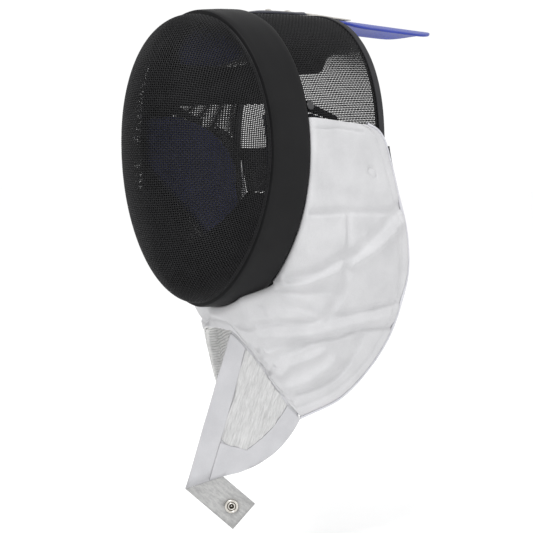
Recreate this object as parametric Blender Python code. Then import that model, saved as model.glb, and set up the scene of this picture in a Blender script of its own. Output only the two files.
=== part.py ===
"""Fencing mask: domed wire face, wire crown, padded rim band, soft liner, sprung tongue and quilted bib.

Units are metres, +Z is up, the face looks along -Y and the wearer's left is +X.
Shapes are drawn round the centre of the face rim, and one empty then moves that centre,
so that the origin of the mask is the spot under the crown pad where the head sits.
"""

from math import acos, copysign, cos, pi, radians, sin

import bmesh
import bpy
from mathutils import Vector

# Face rim and wire shell, measured on the middle of the wire
RIM_HALF_WIDTH = 0.0945
RIM_TOP = 0.1355
RIM_BOTTOM = 0.1530
RIM_TOP_POWER = 2.05
RIM_BOTTOM_POWER = 1.82
RIM_SWEEP = 0.0115
RIM_LEAN = 0.004
DOME_DEPTH = 0.0830
DOME_POWER = 1.68
DOME_TOP_POWER = 2.15
DOME_BOTTOM_POWER = 2.0
WIRE_WALL = 0.0020
GAP = 0.0004

# Crown behind the rim
CROWN_DEPTH = 0.1660
CROWN_HALF_WIDTH = 0.1065
CROWN_TOP = 0.1465
CROWN_BOTTOM = 0.1550
CROWN_TOP_POWER = 2.4
CROWN_BOTTOM_POWER = 2.1
CHIN_DEPTH = 0.0660
CHIN_TURN_START = 100.0
CHIN_TURN_END = 176.0
FACE_SKIRT = 0.0180

# Rim band and rear trim
BAND_WIDTH = 0.0500
BAND_THICK = 0.0042
TRIM_WIDTH = 0.0075
TRIM_WALL = 0.0012
TRIM_BULB = 0.0026

# Bib
BIB_THICK = 0.0040
BIB_EAR_ANGLE = 78.0
BIB_FLARE = 0.0105
BIB_OVERHANG = 0.0310
BIB_DROP = 0.1230
BIB_CHIN_SEAM = 0.0240
BIB_BELLY = 0.0100
BIB_CLEAR = 0.0006
WELT_RADIUS = 0.0016
LINING_THICK = 0.0012
LINING_CLEAR = 0.0014
LINING_REACH = 0.70
LINING_SHARES = (0.10, 0.970)

# Throat flap, snap tab and snap
FLAP_TOP_PLACE = 0.068
FLAP_LENGTH = 0.1750
FLAP_HANG = Vector((-0.269, -0.110, -0.957)).normalized()
FLAP_THICK = 0.0012
HEM_WIDTH = 0.0215
HEM_THICK = 0.0018
FLAP_BOW = 0.0140
FLAP_EASE = 0.0600
FOLD_LENGTH = 0.0415
FOLD_SLANT = 33.0
PANEL_TIP = 0.0040
TAB_LENGTH = 0.0445
TAB_THICK = 0.0016
TAB_RUN = Vector((0.520, 0.550, -0.653)).normalized()
SNAP_ALONG = 0.0270
SNAP_RADIUS = 0.0074
SNAP_POST = 0.0020
SNAP_HEIGHT = 0.0030

# Soft pieces inside, with room for the facets of the curved walls
PAD_CLEAR = 0.0010
CROWN_PAD_THICK = 0.0080
CROWN_PAD_SHORT = 0.0180
CROWN_PAD_BACK = CROWN_DEPTH - CROWN_PAD_SHORT
CROWN_PAD_STEP = 0.0960
CROWN_PAD_REAR = 47.0
CROWN_PAD_BROW = 0.0360
CROWN_PAD_NARROW = 36.0
CROWN_PAD_WIDE = 58.0
CROWN_PAD_WIDEN = 0.0120
CROWN_PAD_TAPER = 0.0140
LINER_THICK = 0.0070
LINER_SHORT = 0.0110
LINER_BACK = CROWN_DEPTH - LINER_SHORT
LINER_LOW = 0.1020
LINER_HIGH = 0.0420
CHIN_PAD_THICK = 0.0070
CHIN_PAD_BACK = 0.0440
CHIN_PAD_SPREAD = 72.0
CHIN_PAD_START = 0.45
CHIN_PAD_END = 0.80
BROW_LOW = 0.0450
BROW_HEIGHT = 0.0370
BROW_THICK = 0.0040
BROW_FRONT = -0.0060
BROW_END = 0.0010
BROW_PAD_LOW = 0.0860
BROW_PAD_HALF_WIDTH = 0.0450
BROW_PAD_FRONT = 0.0160
BROW_PAD_THICK = 0.0070
PANEL_THICK = 0.0014
PANEL_FRONT = 0.0150
PANEL_BACK = 0.0980
PANEL_TOP_FRONT = 0.0640
PANEL_TOP_BACK = 0.0360

# Strap across the back, between the ears of the bib
HEAD_STRAP_THICK = 0.0016
HEAD_STRAP_BOW = 0.0180
HEAD_STRAP_PLACES = (0.905, 0.87, 0.835, 0.80, 0.785)

# Tongue and its spring on the crown
SPRING_FRONT = 0.0900
SPRING_LAP = 0.0230
SPRING_WIDTH = 0.0180
SPRING_THICK = 0.0012
SPRING_CLIMB = 0.0120
SPRING_CLIMB_START = 0.0160
STRAP_FRONT = 0.0620
STRAP_BACK = 0.1480
STRAP_WIDTH = 0.0300
STRAP_THICK = 0.0014
STRAP_CLIMB = 0.0100
STRAP_CLIMB_START = 0.0140
TONGUE_START = 0.0380
TONGUE_LENGTH = 0.1670
TONGUE_FALL = 0.0005
TONGUE_RISE = 0.0020
TONGUE_HALF_WIDTH = 0.0280
TONGUE_ROUND = 0.72
TONGUE_ARCH = 0.0078
TONGUE_THICK = 0.0034
RIVET_RADIUS = 0.0035
RIVET_HEIGHT = 0.0018
RIVET_SPAN = 0.0040
RIVET_PLACES = (0.25, 0.75)

# Press buttons that hold the liner to the crown
BUTTON_RADIUS = 0.0046
BUTTON_HEIGHT = 0.0018
BUTTON_HEIGHT_UP = 0.0450
BUTTON_BEHIND_BAND = 0.0070

AROUND = 48

# Bib edge over the ear: place along the bib, angle from the top, share of the crown's depth
BIB_EAR_EDGE = (
    (1.00, 81.6, 0.800),
    (0.96, 84.0, 0.905),
    (0.92, 87.4, 0.970),
    (0.87, 93.0, 1.030),
)

# Bib edge below the ear: place along the bib, then shares of half width, back reach and drop
BIB_FREE_EDGE = (
    (0.80, 0.974, 0.914, 0.138),
    (0.70, 0.991, 0.985, 0.290),
    (0.60, 0.991, 1.005, 0.446),
    (0.52, 0.949, 0.975, 0.580),
    (0.45, 0.889, 0.929, 0.696),
    (0.38, 0.786, 0.848, 0.812),
    (0.30, 0.632, 0.716, 0.931),
    (0.22, 0.453, 0.518, 1.000),
)

# Front notch of the bib, from its low corner up to the chin, in the same shares
BIB_NOTCH_EDGE = (
    (0.22, 0.453, 0.518, 1.000),
    (0.18, 0.393, 0.416, 0.915),
    (0.13, 0.299, 0.310, 0.795),
    (0.08, 0.171, 0.193, 0.674),
    (0.04, 0.085, 0.167, 0.660),
    (0.00, 0.000, 0.157, 0.656),
)

# Quilted folds: place along the bib, share across it, half length, half width, depth as a share of the bib wall
BIB_FOLDS = (
    (0.74, 0.50, 0.050, 0.60, -0.50),
    (0.60, 0.55, 0.060, 0.50, 0.55),
    (0.47, 0.50, 0.040, 0.60, -0.55),
    (0.37, 0.60, 0.040, 0.50, 0.60),
    (0.28, 0.55, 0.030, 0.50, -0.45),
)

# Liner outline: share of its depth, lowest and highest edge as shares of its low and high reach
LINER_OUTLINE = (
    (0.00, 0.14, 0.84),
    (0.08, 0.25, 0.90),
    (0.25, 0.45, 0.97),
    (0.42, 0.66, 0.90),
    (0.56, 0.96, 0.76),
    (0.65, 1.00, 0.66),
    (0.75, 0.93, 0.50),
    (0.86, 0.79, 0.24),
    (0.93, 0.63, -0.06),
    (0.97, 0.48, -0.34),
)

# Rim band section: share of its width, share of its thickness
BAND_SECTION = (
    (0.000, 0.20),
    (0.010, 0.74),
    (0.060, 0.92),
    (0.500, 1.00),
    (0.940, 0.90),
    (0.992, 0.62),
    (1.000, 0.08),
    (0.920, 0.00),
    (0.080, 0.00),
)


def mix(start, end, share):
    return start + (end - start) * share


def smooth(share):
    share = min(max(share, 0.0), 1.0)
    return share * share * (3.0 - 2.0 * share)


def power_arc(share, power):
    """Height of a superellipse quadrant of unit size at this share of its base."""
    return max(1.0 - abs(share) ** power, 0.0) ** (1.0 / power)


def signed_power(value, power):
    return copysign(abs(value) ** power, value)


def rim_setback(height):
    """The rim's sides lie further back than its top and bottom, and its top leans forward."""
    share = height / RIM_BOTTOM
    return RIM_SWEEP * (1.0 - share * share) - RIM_LEAN * share


def shell_size(depth):
    """Half width, top, bottom and the two powers of the shell's section at this depth."""
    share = min(max(depth / CROWN_DEPTH, 0.0), 1.0)
    eased = sin(share * pi / 2.0)
    return (
        mix(RIM_HALF_WIDTH, CROWN_HALF_WIDTH, eased),
        mix(RIM_TOP, CROWN_TOP, eased),
        mix(RIM_BOTTOM, CROWN_BOTTOM, eased),
        mix(RIM_TOP_POWER, CROWN_TOP_POWER, share),
        mix(RIM_BOTTOM_POWER, CROWN_BOTTOM_POWER, share),
    )


def shell_point(angle, depth):
    """Middle of the wire at this angle from the top, towards +X, and this depth behind the rim."""
    half, top, bottom, top_power, bottom_power = shell_size(depth)
    above = cos(angle) > 0.0
    power = top_power if above else bottom_power
    x = half * signed_power(sin(angle), 2.0 / power)
    z = (top if above else bottom) * signed_power(cos(angle), 2.0 / power)
    fade = 1.0 - min(max(depth / CROWN_DEPTH, 0.0), 1.0)
    return Vector((x, depth + rim_setback(z) * fade, z))


def shell_offset(angle, depth, offset):
    """A point beside the shell, offset outwards along its normal."""
    turn, step = 0.01, 0.001
    around = shell_point(angle + turn, depth) - shell_point(angle - turn, depth)
    back = shell_point(angle, depth + step) - shell_point(angle, depth - step)
    if depth < step:
        back = shell_point(angle, depth + step) - shell_point(angle, depth)
    return shell_point(angle, depth) + around.cross(back).normalized() * offset


def crown_edge(angle):
    """Depth of the crown's rear edge: full over the head, short under the chin."""
    turned = abs(angle) * 180.0 / pi
    share = smooth((turned - CHIN_TURN_START) / (CHIN_TURN_END - CHIN_TURN_START))
    return mix(CROWN_DEPTH, CHIN_DEPTH, share)


def dome_point(across, height):
    """Middle of the face wire at this distance from the centre line and this height."""
    above = height > 0.0
    reach = RIM_TOP if above else RIM_BOTTOM
    rim_power = RIM_TOP_POWER if above else RIM_BOTTOM_POWER
    bow_power = DOME_TOP_POWER if above else DOME_BOTTOM_POWER
    half = RIM_HALF_WIDTH * power_arc(height / reach, rim_power)
    bow = DOME_DEPTH * power_arc(height / reach, bow_power)
    share = min(abs(across) / half, 1.0) if half > 0.0 else 1.0
    return Vector((across, rim_setback(height) - bow * power_arc(share, DOME_POWER), height))


def face_point(angle, run):
    """Face wire from the middle, run 0, to the rim, run 1, and on under the band to run 2."""
    if run > 1.0:
        return shell_point(angle, (run - 1.0) * FACE_SKIRT)
    rim = shell_point(angle, 0.0)
    share = sin(run * pi / 2.0)
    if run == 1.0:
        return rim
    return dome_point(rim.x * share, rim.z * share)


def side_wall(depth, height):
    """Half width of the wire at this height, on the crown for depths behind the rim and on the face in front."""
    if depth >= 0.0:
        half, top, bottom, top_power, bottom_power = shell_size(depth)
        if height > 0.0:
            return half * power_arc(height / top, top_power)
        return half * power_arc(height / bottom, bottom_power)
    above = height > 0.0
    reach = RIM_TOP if above else RIM_BOTTOM
    half = RIM_HALF_WIDTH * power_arc(height / reach, RIM_TOP_POWER if above else RIM_BOTTOM_POWER)
    bow = DOME_DEPTH * power_arc(height / reach, DOME_TOP_POWER if above else DOME_BOTTOM_POWER)
    return half * power_arc(-depth / bow, DOME_POWER)


def side_point(depth, height, offset, side):
    """A point beside the side wall, with side +1 on the wearer's left and -1 on the right."""

    def wall(d, h):
        fade = 1.0 - min(max(d / CROWN_DEPTH, 0.0), 1.0)
        return Vector((side_wall(d, h), d + rim_setback(h) * fade, h))

    step = 0.001
    up = wall(depth, height + step) - wall(depth, height - step)
    back = wall(depth + step, height) - wall(depth - step, height)
    point = wall(depth, height) + back.cross(up).normalized() * offset
    return Vector((point.x * side, point.y, point.z))


def spline(rows, place):
    """Smooth curve through rows of (place, values...), with place falling from row to row."""
    last = len(rows) - 1
    k = 0
    while k < last - 1 and place < rows[k + 1][0]:
        k += 1
    start, end = rows[k], rows[k + 1]
    share = (start[0] - place) / (start[0] - end[0])
    before, after = rows[max(k - 1, 0)], rows[min(k + 2, last)]
    found = []
    for n in range(1, len(start)):
        span = start[0] - end[0]
        slope_in = (end[n] - before[n]) / (before[0] - end[0]) * span
        slope_out = (after[n] - start[n]) / (start[0] - after[0]) * span
        s2, s3 = share * share, share ** 3
        found.append(
            start[n] * (2 * s3 - 3 * s2 + 1)
            + slope_in * (s3 - 2 * s2 + share)
            + end[n] * (3 * s2 - 2 * s3)
            + slope_out * (s3 - s2)
        )
    return found


def bib_clearance():
    """Middle of the bib's wall above the wire, where it passes over the rear trim."""
    return WIRE_WALL / 2.0 + GAP + TRIM_WALL + 2.0 * GAP + BIB_THICK / 2.0


def bib_seam(place):
    """Where the bib meets the rim band: behind it at the sides, and under it at the chin."""
    far = abs(place)
    angle = mix(pi, radians(BIB_EAR_ANGLE), far)
    under = 1.0 - smooth((far - 0.20) / 0.12)
    lifted = 1.0 - smooth((far - 0.32) / 0.12)
    depth = mix(BAND_WIDTH + GAP + BIB_CLEAR, BIB_CHIN_SEAM, under)
    over_band = WIRE_WALL / 2.0 + BAND_THICK + 2.0 * GAP + BIB_THICK / 2.0 + BIB_CLEAR
    offset = mix(bib_clearance(), over_band, lifted)
    return shell_offset(copysign(angle, place if place else 1.0), depth, offset)


def bib_edge(place):
    """Free edge of the bib: over the ear, down the back, along the bottom and up the notch."""
    far = abs(place)
    half = CROWN_HALF_WIDTH + BIB_FLARE
    reach = CROWN_DEPTH + BIB_OVERHANG
    drop = RIM_BOTTOM + BIB_DROP

    def hanging(shares):
        return Vector((half * shares[0], reach * shares[1], -drop * shares[2]))

    if far <= BIB_NOTCH_EDGE[0][0]:
        point = hanging(spline(BIB_NOTCH_EDGE, far))
    else:
        rows = []
        for station, angle, share in BIB_EAR_EDGE:
            ear = shell_offset(radians(angle), CROWN_DEPTH * share, bib_clearance() + GAP)
            rows.append((station, ear.x, ear.y, ear.z))
        for station, *shares in BIB_FREE_EDGE:
            low = hanging(shares)
            rows.append((station, low.x, low.y, low.z))
        point = Vector(spline(rows, far))
    point.x = copysign(point.x, place) if place else 0.0
    return point


def bib_fold(place, share):
    """Depth of the quilted folds at this spot, in metres outwards."""
    total = 0.0
    for along, across, half_long, half_wide, depth in BIB_FOLDS:
        near = 1.0 - min(abs(abs(place) - along) / half_long, 1.0)
        wide = 1.0 - min(abs(share - across) / half_wide, 1.0)
        total += smooth(near) * smooth(wide) * depth * BIB_THICK
    return total


def bib_point(place, share):
    """Middle of the bib's wall, from its seam, share 0, to its free edge, share 1."""
    seam, edge = bib_seam(place), bib_edge(place)
    point = seam.lerp(edge, share)
    neck = Vector((0.0, 0.6 * CROWN_DEPTH, point.z))
    outward = (point - neck).normalized()
    free = smooth((0.92 - abs(place)) / 0.35) * smooth((abs(place) - 0.20) / 0.20)
    return point + outward * (sin(pi * share) * BIB_BELLY * free + bib_fold(place, share))


def material(name, colour, roughness, metallic=0.0):
    found = bpy.data.materials.get(name)
    if found:
        return found
    made = bpy.data.materials.new(name)
    made.use_nodes = True
    shader = made.node_tree.nodes["Principled BSDF"]
    shader.inputs["Base Color"].default_value = (*colour, 1.0)
    shader.inputs["Roughness"].default_value = roughness
    shader.inputs["Metallic"].default_value = metallic
    made.diffuse_color = (*colour, 1.0)
    return made


def black_wire():
    return material("black_wire", (0.02, 0.02, 0.022), 0.45, 0.3)


def black_vinyl():
    return material("black_vinyl", (0.025, 0.025, 0.028), 0.6)


def white_cloth():
    return material("white_cloth", (0.82, 0.82, 0.84), 0.85)


def grey_knit():
    return material("grey_knit", (0.55, 0.55, 0.56), 0.8)


def blue_pad():
    return material("blue_pad", (0.03, 0.05, 0.22), 0.85)


def black_pad():
    return material("black_pad", (0.02, 0.02, 0.025), 0.9)


def blue_vinyl():
    return material("blue_vinyl", (0.03, 0.08, 0.50), 0.4)


def steel():
    return material("steel", (0.62, 0.60, 0.56), 0.3, 1.0)


def add_object(name, bm, mat, seat, smooth_angle=40.0):
    mesh = bpy.data.meshes.new(name)
    bmesh.ops.recalc_face_normals(bm, faces=bm.faces)
    bm.to_mesh(mesh)
    bm.free()
    mesh.materials.append(mat)
    mesh.shade_smooth()
    mesh.set_sharp_from_angle(angle=radians(smooth_angle))
    made = bpy.data.objects.new(name, mesh)
    bpy.context.scene.collection.objects.link(made)
    made.parent = seat
    return made


def wall_of(made, thickness, offset=0.0):
    """Gives an open sheet its thickness, half each way unless an offset of +1 or -1 is asked for."""
    wall = made.modifiers.new("wall", "SOLIDIFY")
    wall.thickness = thickness
    wall.offset = offset
    wall.use_even_offset = True
    wall.use_quality_normals = True
    return made


def add_grid(bm, rows, loop=False):
    """Faces between rows of points. With loop, the last point of a row joins its first."""
    made = [[bm.verts.new(p) for p in row] for row in rows]
    for a, b in zip(made, made[1:]):
        last = len(a) if loop else len(a) - 1
        for k in range(last):
            j = (k + 1) % len(a)
            bm.faces.new((a[k], a[j], b[j], b[k]))
    return made


def box_grid(outer, inner):
    """A closed solid between two equal grids of points."""
    bm = bmesh.new()
    top = add_grid(bm, outer)
    low = add_grid(bm, inner)
    last = len(top) - 1
    for a, b in ((top[0], low[0]), (top[last], low[last])):
        for k in range(len(a) - 1):
            bm.faces.new((a[k], a[k + 1], b[k + 1], b[k]))
    for column in (0, len(top[0]) - 1):
        for k in range(last):
            bm.faces.new((top[k][column], top[k + 1][column], low[k + 1][column], low[k][column]))
    return bm


def ring_sweep(sections):
    """A closed hoop through equal closed sections."""
    bm = bmesh.new()
    made = [[bm.verts.new(p) for p in section] for section in sections]
    for a, b in zip(made, made[1:] + made[:1]):
        for k in range(len(a)):
            j = (k + 1) % len(a)
            bm.faces.new((a[k], a[j], b[j], b[k]))
    return bm


def tube(points, sides, radius, normals):
    """A round bar along points, capped at both ends."""
    bm = bmesh.new()
    rings = []
    last = len(points) - 1
    for k, point in enumerate(points):
        along = (points[min(k + 1, last)] - points[max(k - 1, 0)]).normalized()
        up = (normals[k] - along * normals[k].dot(along)).normalized()
        side = along.cross(up)
        ring = []
        for n in range(sides):
            turn = 2.0 * pi * n / sides
            ring.append(bm.verts.new(point + (up * cos(turn) + side * sin(turn)) * radius))
        rings.append(ring)
    for a, b in zip(rings, rings[1:]):
        for k in range(sides):
            j = (k + 1) % sides
            bm.faces.new((a[k], a[j], b[j], b[k]))
    bm.faces.new(list(reversed(rings[0])))
    bm.faces.new(rings[-1])
    return bm


def turned(profile, steps, centre, axis):
    """A solid turned from (radius, height) points about an axis through centre. Both end radii are 0."""
    bm = bmesh.new()
    turn = axis.normalized().to_track_quat("Z", "Y")
    rings = []
    for radius, height in profile:
        if radius == 0.0:
            rings.append([bm.verts.new(centre + turn @ Vector((0.0, 0.0, height)))])
            continue
        ring = []
        for k in range(steps):
            a = 2.0 * pi * k / steps
            spot = Vector((radius * cos(a), radius * sin(a), height))
            ring.append(bm.verts.new(centre + turn @ spot))
        rings.append(ring)
    for a, b in zip(rings, rings[1:]):
        for k in range(steps):
            j = (k + 1) % steps
            corners = [a[k % len(a)], a[j % len(a)], b[j % len(b)], b[k % len(b)]]
            bm.faces.new(list(dict.fromkeys(corners)))
    return bm


def angles():
    return [2.0 * pi * k / AROUND - pi for k in range(AROUND)]


def make_face_mesh(seat):
    """The domed front: rings from a middle point to the rim, then a skirt under the band."""
    bm = bmesh.new()
    runs = [k / 8.0 for k in range(1, 9)] + [2.0]
    rows = [[face_point(a, run) for a in angles()] for run in runs]
    made = add_grid(bm, rows, loop=True)
    middle = bm.verts.new(dome_point(0.0, 0.0))
    for k in range(AROUND):
        bm.faces.new((middle, made[0][k], made[0][(k + 1) % AROUND]))
    return wall_of(add_object("face_mesh", bm, black_wire(), seat), WIRE_WALL)


def make_side_mesh(seat):
    """The crown and sides, from the face's skirt to the rear edge."""
    bm = bmesh.new()
    rows = []
    for k in range(5):
        row = []
        for a in angles():
            depth = mix(FACE_SKIRT + GAP, crown_edge(a), k / 4.0)
            row.append(shell_point(a, depth))
        rows.append(row)
    add_grid(bm, rows, loop=True)
    return wall_of(add_object("side_mesh", bm, black_wire(), seat), WIRE_WALL)


def make_rim_band(seat):
    """The padded hoop over the joint between face and crown."""
    base = WIRE_WALL / 2.0 + GAP
    sections = []
    for a in angles():
        section = [
            shell_offset(a, BAND_WIDTH * across, base + BAND_THICK * thick)
            for across, thick in BAND_SECTION
        ]
        sections.append(section)
    return add_object("rim_band", ring_sweep(sections), black_vinyl(), seat)


def make_rear_trim(seat):
    """A channel of trim that grips the crown's rear edge all the way round."""
    inner = WIRE_WALL / 2.0 + GAP
    outer = inner + TRIM_WALL
    profile = (
        (-TRIM_WIDTH, inner),
        (-TRIM_WIDTH, outer),
        (0.0, outer + GAP / 2.0),
        (TRIM_BULB, outer * 0.45),
        (TRIM_BULB, -outer * 0.45),
        (0.0, -outer - GAP / 2.0),
        (-TRIM_WIDTH, -outer),
        (-TRIM_WIDTH, -inner),
        (GAP, -inner),
        (GAP, inner),
    )
    sections = []
    for a in angles():
        edge = crown_edge(a)
        sections.append([shell_offset(a, edge + along, off) for along, off in profile])
    return add_object("rear_trim", ring_sweep(sections), black_vinyl(), seat)


def bib_places():
    """Stations along the bib, closer together where its edge turns."""
    half = [1.0, 0.975, 0.95, 0.92, 0.895, 0.87, 0.835, 0.80, 0.75, 0.70, 0.65, 0.60, 0.56, 0.52]
    half += [0.48, 0.44, 0.40, 0.36, 0.32, 0.28, 0.25, 0.22, 0.18, 0.13, 0.08, 0.04]
    return [-place for place in half] + [0.0] + list(reversed(half))


def make_bib(seat):
    """The padded cloth bib, one piece from ear to ear."""
    bm = bmesh.new()
    columns = 7
    rows = [[bib_point(place, k / columns) for k in range(columns + 1)] for place in bib_places()]
    add_grid(bm, rows)
    return wall_of(add_object("bib", bm, white_cloth(), seat), BIB_THICK)


def make_lining(seat):
    """The knit lining inside the bib, short of its ears and its edges."""
    places = [place for place in bib_places() if abs(place) <= LINING_REACH]
    apart = BIB_THICK / 2.0 + LINING_CLEAR + LINING_THICK / 2.0
    rows = []
    for place in places:
        shares = [mix(LINING_SHARES[0], LINING_SHARES[1], k / 4.0) for k in range(5)]
        rows.append([bib_inside(place, share, apart) for share in shares])
    bm = bmesh.new()
    add_grid(bm, rows)
    return wall_of(add_object("bib_lining", bm, grey_knit(), seat), LINING_THICK)


def bib_inside(place, share, apart):
    """A point this far inside the middle of the bib's wall."""
    step = 0.01
    along = bib_point(place + step, share) - bib_point(place - step, share)
    across = bib_point(place, share + step) - bib_point(place, share - step)
    return bib_point(place, share) + along.cross(across).normalized() * apart


def edge_outward(place):
    """Direction away from the bib across its free edge."""
    side = copysign(1.0, place)
    edge = bib_point(place, 1.0)
    out = edge - bib_point(place, 0.97)
    ahead = side * min(abs(place) + 0.01, 1.0)
    along = (bib_point(ahead, 1.0) - bib_point(place - side * 0.01, 1.0)).normalized()
    return (out - along * out.dot(along)).normalized()


def make_welt(seat, name, side):
    """The corded edge of one half of the bib, from the ear to the low front corner."""
    corner = BIB_NOTCH_EDGE[0][0]
    points, normals = [], []
    for place in bib_places():
        if place < corner:
            continue
        out = edge_outward(side * place)
        points.append(bib_point(side * place, 1.0) + out * (WELT_RADIUS + 1.5 * GAP))
        normals.append(out)
    return add_object(name, tube(points, 8, WELT_RADIUS, normals), white_cloth(), seat, 80.0)


def flap_corners():
    """Top and bottom corners of the throat flap, which hangs from the left side of the bib's notch."""
    high = FLAP_TOP_PLACE
    low = BIB_NOTCH_EDGE[0][0]
    return bib_point(high, 1.0), bib_point(low, 1.0)


def flap_normal():
    top, low = flap_corners()
    return (low - top).cross(FLAP_HANG).normalized() * -1.0


def flap_front_line(share):
    """Front edge of the flap, from the chin down to the fold."""
    top, low = flap_corners()
    start = top + FLAP_HANG * (BIB_THICK / 2.0 + GAP)
    return start + FLAP_HANG * FLAP_LENGTH * share


def flap_inward():
    """Direction in the flap's plane, square to its front edge and towards the back."""
    inward = flap_normal().cross(FLAP_HANG).normalized()
    return inward if inward.y > 0.0 else -inward


def fold_direction():
    slant = radians(FOLD_SLANT)
    return flap_inward() * cos(slant) - FLAP_HANG * sin(slant)


def fold_line(share):
    """The slanted fold at the flap's lowest corner, where the snap tab starts."""
    return flap_front_line(1.0) + fold_direction() * FOLD_LENGTH * share


def flap_rear_line(share):
    """Lower edge of the flap, bowed, from the bib's low corner to the fold."""
    top, low = flap_corners()
    start = low + FLAP_HANG * (BIB_THICK / 2.0 + GAP)
    end = fold_line(1.0)
    chord = end - start
    bow = flap_normal().cross(chord).normalized()
    if bow.z > 0.0:
        bow = -bow
    return start + chord * share + bow * (4.0 * share * (1.0 - share) * FLAP_BOW)


def under_notch(point):
    """Moves a point of the flat flap so that its top edge follows the curved edge of the notch."""
    top, low = flap_corners()
    chord = low - top
    across = chord - FLAP_HANG * chord.dot(FLAP_HANG)
    share = (point - top).dot(across) / across.length_squared
    share = min(max(share, 0.0), 1.0)
    below = (point - top - chord * share).dot(FLAP_HANG)
    edge = bib_point(mix(FLAP_TOP_PLACE, BIB_NOTCH_EDGE[0][0], share), 1.0)
    fade = 1.0 - smooth(below / FLAP_EASE)
    return point + (edge - top - chord * share) * fade


def strip(name, left, right, thickness, normal, mat, seat, columns, shaped=Vector):
    """A thin plate between two lines of points, half its thickness to each side."""
    outer, inner = [], []
    for a, b in zip(left, right):
        row = [shaped(a.lerp(b, k / columns)) for k in range(columns + 1)]
        outer.append([p + normal * (thickness / 2.0) for p in row])
        inner.append([p - normal * (thickness / 2.0) for p in row])
    return add_object(name, box_grid(outer, inner), mat, seat, 30.0)


def inset(points, toward, distance):
    """Each point moved this far towards the matching point of another line."""
    return [p + (q - p).normalized() * distance for p, q in zip(points, toward)]


def make_flap(seat):
    """The throat flap: a front hem, a stretch panel and a lower hem, side by side."""
    normal, inward = flap_normal(), flap_inward()
    steps = 10
    drop = HEM_WIDTH / flap_slope()
    rise = HEM_WIDTH * sin(radians(FOLD_SLANT)) / cos(radians(FOLD_SLANT))
    front, hem = [], []
    for k in range(steps + 1):
        front.append(flap_front_line(k / steps))
        shift = mix(drop, -rise, k / steps)
        hem.append(front[k] + inward * HEM_WIDTH + FLAP_HANG * shift)
    strip("flap_front_hem", front, hem, HEM_THICK, normal, white_cloth(), seat, 3, under_notch)

    beside = [p + inward * GAP for p in hem]
    rear = [flap_rear_line(k / steps) for k in range(steps + 1)]
    rear[0] = rear[0] + FLAP_HANG * GAP
    middle = [p + (q - p).normalized() * min(HEM_WIDTH, (q - p).length * 0.5) for p, q in zip(rear, beside)]
    turn = steps - 4
    lower_left = middle[: turn + 1] + beside[turn + 1 :]
    panel_left = beside[: turn + 1]
    panel_right = [p + (q - p).normalized() * GAP for p, q in zip(middle[: turn + 1], panel_left)]
    tip = lower_left[turn + 1]
    left_tip = tip + (beside[turn] - tip).normalized() * PANEL_TIP
    right_tip = tip + (middle[turn] - tip).normalized() * PANEL_TIP
    panel_left.append(left_tip)
    panel_right.append(right_tip + (left_tip - right_tip).normalized() * GAP)
    strip("flap_panel", panel_left, panel_right, FLAP_THICK, normal, grey_knit(), seat, 6, under_notch)
    strip("flap_lower_hem", lower_left, rear, HEM_THICK, normal, white_cloth(), seat, 4, under_notch)


def flap_slope():
    """How far the notch edge runs sideways for each metre that it drops along the flap."""
    top, low = flap_corners()
    edge = low - top
    return edge.dot(flap_inward()) / edge.dot(FLAP_HANG)


def tab_normal():
    return TAB_RUN.cross(fold_direction()).normalized()


def tab_start(share):
    """Start of the tab, below the fold by enough to clear the hem's edge."""
    fold = fold_direction()
    tilt = acos(min(abs(flap_normal().dot(tab_normal())), 1.0))
    away = (TAB_RUN - fold * TAB_RUN.dot(fold)).normalized()
    clear = (GAP + TAB_THICK / 2.0 * sin(tilt)) / cos(tilt)
    return fold_line(share) + away * clear


def tab_skew():
    """How much further the tab's front edge runs than its rear edge, to end square."""
    return FOLD_LENGTH * TAB_RUN.dot(fold_direction())


def snap_centre():
    middle = tab_start(0.5) + TAB_RUN * (tab_skew() / 2.0)
    return middle + TAB_RUN * SNAP_ALONG


def make_snap_tab(seat):
    """The tab at the fold, with a hole for the snap's post."""
    left = [tab_start(0.0) + TAB_RUN * ((TAB_LENGTH + tab_skew()) * k / 4.0) for k in range(5)]
    right = [tab_start(1.0) + TAB_RUN * (TAB_LENGTH * k / 4.0) for k in range(5)]
    tab = strip("snap_tab", left, right, TAB_THICK, tab_normal(), grey_knit(), seat, 4)
    hole_profile = (
        (0.0, -SNAP_RADIUS),
        (SNAP_POST + GAP, -SNAP_RADIUS),
        (SNAP_POST + GAP, SNAP_RADIUS),
        (0.0, SNAP_RADIUS),
    )
    cutter_mesh = turned(hole_profile, 20, snap_centre(), tab_normal())
    cutter = add_object("snap_hole_cutter", cutter_mesh, grey_knit(), seat)
    cutter.hide_render = True
    cutter.display_type = "WIRE"
    hole = tab.modifiers.new("snap_hole", "BOOLEAN")
    hole.object = cutter
    hole.operation = "DIFFERENCE"
    hole.solver = "EXACT"
    return tab


def make_snap(seat):
    """The press snap: a front socket ring and a back cap on one post through the tab."""
    half = TAB_THICK / 2.0 + 0.75 * GAP
    front, back = half + SNAP_HEIGHT, -half - SNAP_HEIGHT * 0.4
    r = SNAP_RADIUS
    profile = (
        (0.0, back),
        (r * 0.86, back),
        (r, back + SNAP_HEIGHT * 0.14),
        (r, -half),
        (SNAP_POST, -half),
        (SNAP_POST, half),
        (r, half),
        (r, half + SNAP_HEIGHT * 0.30),
        (r * 0.90, half + SNAP_HEIGHT * 0.55),
        (r * 0.74, half + SNAP_HEIGHT * 0.42),
        (r * 0.66, half + SNAP_HEIGHT * 0.42),
        (r * 0.62, front - SNAP_HEIGHT * 0.10),
        (r * 0.58, front),
        (r * 0.36, front),
        (r * 0.32, front - SNAP_HEIGHT * 0.12),
        (r * 0.30, half + SNAP_HEIGHT * 0.15),
        (0.0, half + SNAP_HEIGHT * 0.15),
    )
    return add_object("snap", turned(profile, 16, snap_centre(), tab_normal()), steel(), seat, 35.0)


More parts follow.
